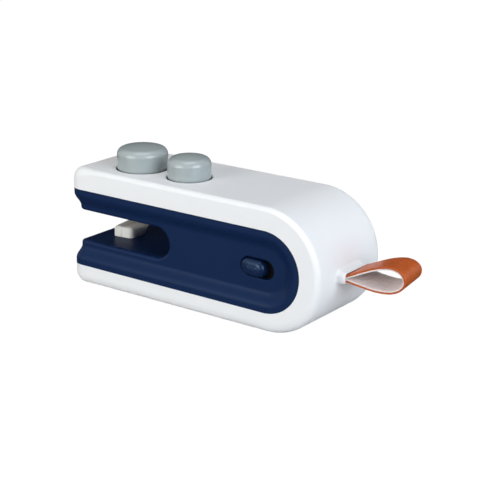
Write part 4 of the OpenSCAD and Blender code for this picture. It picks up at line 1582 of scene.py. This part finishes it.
@dataclass
class Strap:
    """Leather loop with a pale lining, and the white sleeve that it comes out of."""

    body: Body
    y: float = -2.1
    width: float = 13.4
    thick: float = 1.0
    leather_t: float = 0.55
    lining_less: float = 0.3
    root_out: float = 3.1
    tail: float = 13.5
    root_sep: float = 0.6
    loop_l: float = 20.0
    loop_h: float = 7.6
    rise: float = 3.1
    peak: float = 0.702
    power: float = 1.5
    mean_reach: float = 1.037
    skew: float = 0.04
    lean: float = 0.035
    open_front: float = 0.24
    edge: float = 0.2
    edge_share: float = 2.2
    edge_steps: int = 4
    waver: tuple[Point, Point] = ((0.05, 0.9, 0.0), (0.04, 2.3, 1.0))
    steps: int = 150
    tail_steps: int = 12
    sleeve: Flat = (14.5, 4.0)
    sleeve_round: float = 0.38
    sleeve_drop: float = 0.4
    sleeve_in: Flat = (13.8, 2.6)
    sleeve_in_round: float = 0.3
    sleeve_x: float = 49.6
    sleeve_steps: int = 6
    flange_t: float = 1.8
    flange_over: float = 1.8
    fillet: float = 1.0
    fillet_sunk: float = 0.03
    fillet_root: Flat = (0.5, 0.4)
    lip: float = 1.0
    mouth: float = 0.15

    @property
    def root_x(self) -> float:
        """Where the loop leaves the sleeve."""
        return self.body.right + self.root_out

    def loop_point(self, a: float) -> Flat:
        """Returns a point of the loop's middle line.

        Args:
            a: Angle from 0 to 2 pi.

        Returns:
            Place in X and Z.
        """
        swell = (self.loop_h - self.thick) / 2 / self.peak
        z = self.rise * (1 - math.cos(a)) / 2 + swell * math.sin(a) * max(0.0, math.sin(a / 2)) ** self.power
        return (self.root_x + self.loop_l * (1 - math.cos(a)) / 2,
                self.body.mid_z + z + self.root_sep * math.cos(a / 2))

    def path(self) -> list[Flat]:
        """Returns the middle line of the leather, from one end inside the sleeve to the other.

        Returns:
            Points in X and Z.
        """
        loop = [self.loop_point(2 * math.pi * i / self.steps) for i in range(self.steps + 1)]
        ends = [self.root_x - self.tail * (1 - i / self.tail_steps) for i in range(self.tail_steps)]
        return [(x, loop[0][1]) for x in ends] + loop + [(x, loop[-1][1]) for x in ends[::-1]]

    def band(self, name: str, outer: float, inner: float, width: float) -> tuple[bpy.types.Object, float]:
        """Sweeps one layer of the strap along the path.

        Args:
            name: Name of the object.
            outer: Distance of its outer face from the middle line.
            inner: Distance of its inner face from the middle line.
            width: Width of the layer.

        Returns:
            The layer and its length.
        """
        path, thick = self.path(), outer - inner
        r = min(self.edge, thick / self.edge_share)
        run, rings = 0.0, []
        for i, (x, z) in enumerate(path):
            (ax, az), (cx, cz) = path[max(0, i - 1)], path[min(len(path) - 1, i + 1)]
            size = math.hypot(cx - ax, cz - az)
            nx, nz = -(cz - az) / size, (cx - ax) / size
            run += math.dist(self.skewed(x, 0.0, z), self.skewed(ax, 0.0, az))
            waver = sum(reach * math.sin(run * pace + start) for reach, pace, start in self.waver)
            section = round_rect(0.0, (outer + inner) / 2, width + 2 * waver, thick, r, self.edge_steps)
            rings.append([self.skewed(x + n * nx, y, z + n * nz) for y, n in section])
        return loft(name, rings), run

    def skewed(self, x: float, y: float, z: float) -> Point:
        """Stretches, opens and leans the loop toward the front, as the leather hangs.

        Args:
            x: Place along the body.
            y: Distance from the middle of the strap.
            z: Height.

        Returns:
            The point in its final place.
        """
        side = 2 * y / self.width
        past = max(0.0, x - self.root_x)
        upper = max(0.0, z - self.body.mid_z - self.rise * past / self.loop_l)
        opened = upper * self.open_front * (1 - side) / 2 * min(1.0, past / self.thick)
        return (x + past * (self.mean_reach - 1 - self.skew * side), self.y + y, z + self.lean * y + opened)

    def build(self) -> None:
        """Builds and places the leather, the lining and the sleeve."""
        half, seam = self.thick / 2, self.thick / 2 - self.leather_t
        narrow = self.width - self.lining_less
        leather, length = self.band("leather_loop", half, seam, self.width)
        lining, inner_length = self.band("loop_lining", seam, -half, narrow)
        place(dress(leather, LEATHER), "case", "tan_leather", "strap")
        place(dress(lining, SUEDE), "case", "tan_leather")
        place(dress(self.sleeve_solid(), WHITE), "case", "white_shell", "strap_lug")

    def drop(self, z: float) -> float:
        """Returns how far the shell's round end falls back at a height."""
        b = self.body
        return b.end_r - math.sqrt(b.end_r ** 2 - (z - b.mid_z) ** 2)

    def sleeve_solid(self) -> bpy.types.Object:
        """Builds the sleeve: an inner flange, a fillet on the shell and a rounded lip.

        Returns:
            The sleeve.
        """
        (w, h), (iw, ih), turns = self.sleeve, self.sleeve_in, quarter(self.sleeve_steps)
        middle, deep = self.body.mid_z, (h - ih) / 2 - self.mouth
        back, front = self.sleeve_x, self.sleeve_x + self.flange_t
        root, f = self.body.right - self.fillet_sunk, self.fillet
        neck = [(back, self.flange_over), (front, self.flange_over), (front, 0.0),
                (root - self.fillet_root[0], 0.0)]
        blend = [(root - self.fillet_root[1], f)]
        blend += [(root + f * (1 - math.cos(t)), f * (1 - math.sin(t))) for t in turns]
        lip = [(self.root_x - self.lip * (1 - math.sin(t)), -deep * (1 - math.cos(t))) for t in turns]
        lip += [(self.root_x - self.mouth * (1 - math.cos(t)), -deep - self.mouth * math.sin(t))
                for t in turns[2::2]]
        rings = []
        for x, d in neck + blend + lip:
            z = middle - self.sleeve_drop * (1 - max(0.0, -d) / (deep + self.mouth))
            ring = round_rect(self.y, z, w + 2 * d, h + 2 * d, (h + 2 * d) * self.sleeve_round)
            rings.append(across(x, ring))
        for ring, (_, d) in zip(rings[len(neck):], blend):
            ring[:] = [(x - self.drop(z) * d / f, y, z) for x, y, z in ring]
        rings.append(across(back, round_rect(self.y, middle, iw, ih, ih * self.sleeve_in_round)))
        return loft("loop_sleeve", rings, capped=False)


@dataclass
class Socket:
    """Charging socket: a steel shell with a black tongue and its contacts."""

    body: Body
    x: float = 18.0
    z: float = 30.0
    width: float = 8.9
    height: float = 3.2
    wall: float = 0.35
    length: float = 4.6
    lip: float = 0.12
    ring_steps: int = 20
    tongue: Flat = (6.7, 0.7)
    tongue_in: float = 0.6
    tongue_radii: Point = (0.2, 0.02, 0.15)
    tongue_steps: int = 4
    contacts: int = 8
    contact_step: float = 0.7
    contact_in: float = 1.7
    contact: Flat = (0.3, 1.8)
    contact_ends: Flat = (-0.06, 0.06)
    contact_radii: Point = (0.05, 0.02, 0.02)
    contact_steps: int = 2

    def build(self) -> None:
        """Builds and places the socket."""
        out, back = self.body.panel_y, self.body.panel_y - self.length
        stations = [(back, 0.0), (out - self.lip, 0.0), (out, self.lip), (out, self.wall - self.lip),
                    (out - self.lip, self.wall), (back + self.wall, self.wall)]
        rings = [[(x, y, z) for x, z in oval(self.x, self.z, self.width - 2 * d, self.height - 2 * d,
                                             self.ring_steps)] for y, d in stations]
        place(dress(loft("socket_shell", rings), STEEL), "case", "steel", "usb_port")
        tongue = rounded_block("socket_tongue", (self.x, -self.z), self.tongue,
                               (back + self.wall - NEAR, out - self.tongue_in), self.tongue_radii,
                               self.tongue_steps)
        place(dress(turned(tongue, Axis.DEEP.value), BLACK), "case", "black_plastic")
        first = self.x - self.contact_step * (self.contacts - 1) / 2
        spots = [(first + i * self.contact_step, out - self.contact_in, self.z + side * self.tongue[1] / 2)
                 for side in (-1, 1) for i in range(self.contacts)]
        leaf = rounded_block("leaf", (0.0, 0.0), self.contact, self.contact_ends, self.contact_radii,
                             self.contact_steps)
        leaves = copies("socket_contacts", leaf, spots, (0.0, 0.0, 1.0), BRASS, 0.0)
        place(dress(leaves, BRASS), "case", "contact_brass")


def direction(turn: float, lift: float) -> Vector:
    """Returns the direction at a turn from the front to the right end and a height angle, in degrees."""
    t, e = math.radians(turn), math.radians(lift)
    return Vector((math.sin(t) * math.cos(e), -math.cos(t) * math.cos(e), math.sin(e)))


def flat_panel(name: str, w: float, h: float) -> bpy.types.Object:
    """Makes a flat rectangle for the studio, with a material of its own.

    Args:
        name: Name of the panel and its material.
        w: Half its width in metres.
        h: Half its height in metres.

    Returns:
        The panel.
    """
    mesh = bpy.data.meshes.new(name)
    mesh.from_pydata([(sx * w, sy * h, 0) for sx, sy in QUADRANTS], [], [(0, 1, 2, 3)])
    coat = bpy.data.materials.new(name)
    coat.use_nodes = True
    mesh.materials.append(coat)
    return linked(name, mesh)


@dataclass(frozen=True)
class Lamp:
    """One soft rectangular lamp, aimed at the object.

    Attributes:
        name: Name of the lamp.
        turn: Direction it stands in, in degrees from the front toward the right end.
        lift: Height angle in degrees.
        power: Power in watts.
        tint: Colour of its light.
        mirrored: Whether glossy surfaces show the lamp itself.
        away: Distance in metres.
        size: Width and height in metres.
    """

    name: str
    turn: float
    lift: float
    power: float
    tint: tuple[float, float, float] = PURE_WHITE
    mirrored: bool = True
    away: float = 0.9
    size: Flat = (0.6, 0.5)

    def build(self, aim: Vector) -> None:
        """Builds the lamp.

        Args:
            aim: Point that it faces.
        """
        back = direction(self.turn, self.lift)
        data = bpy.data.lights.new(self.name, "AREA")
        data.shape = "RECTANGLE"
        data.size, data.size_y = self.size
        data.energy = self.power
        data.color = self.tint
        made = linked(self.name, data)
        made.location = aim + back * self.away
        made.rotation_euler = back.to_track_quat("Z", "Y").to_euler()
        made.visible_glossy = self.mirrored


@dataclass(frozen=True)
class Card:
    """A dark card near the object, which only mirror-like reflections show.

    Attributes:
        name: Name of the card.
        turn: Direction it stands in, in degrees from the front toward the right end.
        lift: Height angle in degrees.
        away: Distance in metres.
        size: Width and height in metres.
        shade: Level of its grey.
    """

    name: str
    turn: float
    lift: float
    away: float
    size: Flat
    shade: float = 0.02

    def build(self, aim: Vector) -> None:
        """Builds the card.

        Args:
            aim: Point that it faces.
        """
        back = direction(self.turn, self.lift)
        made = flat_panel(self.name, self.size[0] / 2, self.size[1] / 2)
        moved(made, back.to_track_quat("Z", "Y").to_matrix().to_4x4())
        moved(made, Matrix.Translation(aim + back * self.away))
        made.visible_camera = made.visible_diffuse = made.visible_transmission = made.visible_shadow = False
        shader = made.data.materials[0].node_tree.nodes["Principled BSDF"]
        shader.inputs["Base Color"].default_value = (self.shade, self.shade, self.shade, 1.0)


LAMPS = (
    Lamp("front_lamp", -18.0, 14.0, 5.15, (1.0, 0.99, 0.965)),
    Lamp("end_lamp", 78.0, 22.0, 6.2, (0.87, 0.92, 0.99)),
    Lamp("top_lamp", 40.0, 85.0, 3.2),
    Lamp("rear_lamp", 205.0, 8.0, 3.2, mirrored=False),
)
CARDS = (
    Card("rear_card", 217.0, 24.0, 0.5, (1.0, 0.5)),
    Card("floor_card", 0.0, -90.0, 0.0215, (1.2, 1.2)),
)


@dataclass
class Studio:
    """White surroundings, the lamps and the camera of the photograph, in metres."""

    aim: Point = (0.0, 0.0, 0.022)
    azimuth: float = 37.37
    elevation: float = 17.813
    distance: float = 0.491591
    lens: float = 105.0
    sensor: float = 36.0
    shift: Flat = (0.03866, -0.00198)
    clip: Flat = (0.01, 50.0)
    ambient: float = 0.02
    floor_half: float = 3.0
    floor_shade: float = 0.66
    floor_share: float = 0.95
    floor_glow: float = 1.05

    def build(self) -> None:
        """Builds everything around the object."""
        bpy.context.scene.view_settings.view_transform = "Standard"
        self.camera()
        self.world()
        self.floor()
        for part in (*CARDS, *LAMPS):
            part.build(Vector(self.aim))

    def camera(self) -> None:
        """Builds the camera, for a square picture."""
        back = direction(self.azimuth, self.elevation)
        data = bpy.data.cameras.new("camera")
        data.lens, data.sensor_width = self.lens, self.sensor
        data.shift_x, data.shift_y = self.shift
        data.clip_start, data.clip_end = self.clip
        made = linked("camera", data)
        made.location = Vector(self.aim) + back * self.distance
        made.rotation_euler = back.to_track_quat("Z", "Y").to_euler()
        bpy.context.scene.camera = made

    def world(self) -> None:
        """Makes surroundings that look white and light the object softly."""
        world = bpy.data.worlds.new("white_surroundings")
        world.use_nodes = True
        tree = world.node_tree
        shade = tree.nodes["Background"]
        shade.inputs["Color"].default_value = (*PURE_WHITE, 1.0)
        tree.links.new(mapped(tree, self.seen(tree), onto=(self.ambient, 1.0)), shade.inputs["Strength"])
        bpy.context.scene.world = world

    def seen(self, tree: bpy.types.NodeTree) -> bpy.types.NodeSocket:
        """Adds up the rays that see the surroundings: the camera's, mirrored ones and those through glass.

        Args:
            tree: Node tree of the world or the floor.

        Returns:
            1 for such a ray, otherwise 0.
        """
        rays = tree.nodes.new("ShaderNodeLightPath")
        total = rays.outputs["Is Camera Ray"]
        for kind in ("Is Glossy Ray", "Is Transmission Ray"):
            both = tree.nodes.new("ShaderNodeMath")
            both.operation = "MAXIMUM"
            tree.links.new(total, both.inputs[0])
            tree.links.new(rays.outputs[kind], both.inputs[1])
            total = both.outputs["Value"]
        return total

    def floor(self) -> None:
        """Makes the white floor, which keeps a faint shadow of the object."""
        made = flat_panel("floor", self.floor_half, self.floor_half)
        tree = made.data.materials[0].node_tree
        tree.nodes.remove(tree.nodes["Principled BSDF"])
        matt, glow, mix = (tree.nodes.new(f"ShaderNode{kind}")
                           for kind in ("BsdfDiffuse", "Emission", "MixShader"))
        matt.inputs["Color"].default_value = (self.floor_shade, self.floor_shade, self.floor_shade, 1.0)
        glow.inputs["Strength"].default_value = self.floor_glow
        tree.links.new(mapped(tree, self.seen(tree), onto=(0.0, self.floor_share)), mix.inputs["Fac"])
        tree.links.new(matt.outputs["BSDF"], mix.inputs[1])
        tree.links.new(glow.outputs["Emission"], mix.inputs[2])
        tree.links.new(mix.outputs["Shader"], tree.nodes["Material Output"].inputs["Surface"])


# Places of the hardware inside, and the directions that screw heads face.
RIVET_SPOTS = [(47.3, -6.1, 22.0), (47.3, 1.9, 22.0)]
BOARD_SPOTS = [(5.2, -8.6, 12.7), (35.8, -8.6, 12.7), (35.8, -8.6, 31.3)]
CHARGE_SPOTS = [(10.4, 11.4, 30.0), (25.6, 11.4, 30.0)]
REARWARD, FORWARD, DOWNWARD = (0.0, 1.0, 0.0), (0.0, -1.0, 0.0), (0.0, 0.0, -1.0)


def main() -> None:
    """Builds every sub-assembly in order."""
    logging.basicConfig(level=logging.INFO, format="%(message)s")
    body = Body()
    Studio().build()
    shell = Shell(body)
    shell.build()
    core = Core(body)
    core.build()
    Button(body, "sealing_button", "seal_button_body", "seal_button", body.seal_x, r=9.1).build()
    Button(body, "cutting_button", "cut_button_body", "cut_button", body.cut_x, r=7.7, proud=8.1).build()
    Anvil(body).build()
    Knob(body).build()
    Strap(body).build()
    Socket(body).build()
    Rivets(RIVET_SPOTS).build()
    for name, node, joint, x, dy, travel in (
            ("sealing_springs", "seal_springs", "seal_press", body.seal_x, core.seal_post_y, 4.8),
            ("cutting_springs", "cut_springs", "cut_press", body.cut_x, core.cut_post_y, 6.0)):
        Springs(body, name, node, joint, [(x, body.button_y + side * dy) for side in (-1, 1)], travel).build()
    case_spots = [(x, shell.screw_seat_y, z) for x, z in shell.bosses()]
    seal_spots, cut_spots = ([(x, body.button_y, body.plate_z)] for x in (body.seal_x, body.cut_x))
    for name, node, rides, spots, facing, length in (
            ("case_screw_set", "case_screws", "case", case_spots, REARWARD, 12.0),
            ("board_screw_set", "board_screws", "case", BOARD_SPOTS, REARWARD, 5.0),
            ("charge_screw_set", "charge_screws", "case", CHARGE_SPOTS, FORWARD, 5.0),
            ("sealing_button_bolt", "seal_button_screw", "seal_button_body", seal_spots, DOWNWARD, 6.0),
            ("cutting_button_bolt", "cut_button_screw", "cut_button_body", cut_spots, DOWNWARD, 6.0)):
        Screws(name, node, rides, spots, facing, length).build()
    for node, finish in NODE_FINISHES.items():
        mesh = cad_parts[node].data
        mesh.materials.clear()
        mesh.materials.append(finish.material())
        LOG.info("%s: %s", node, finish.name)


if __name__ == "__main__":
    main()
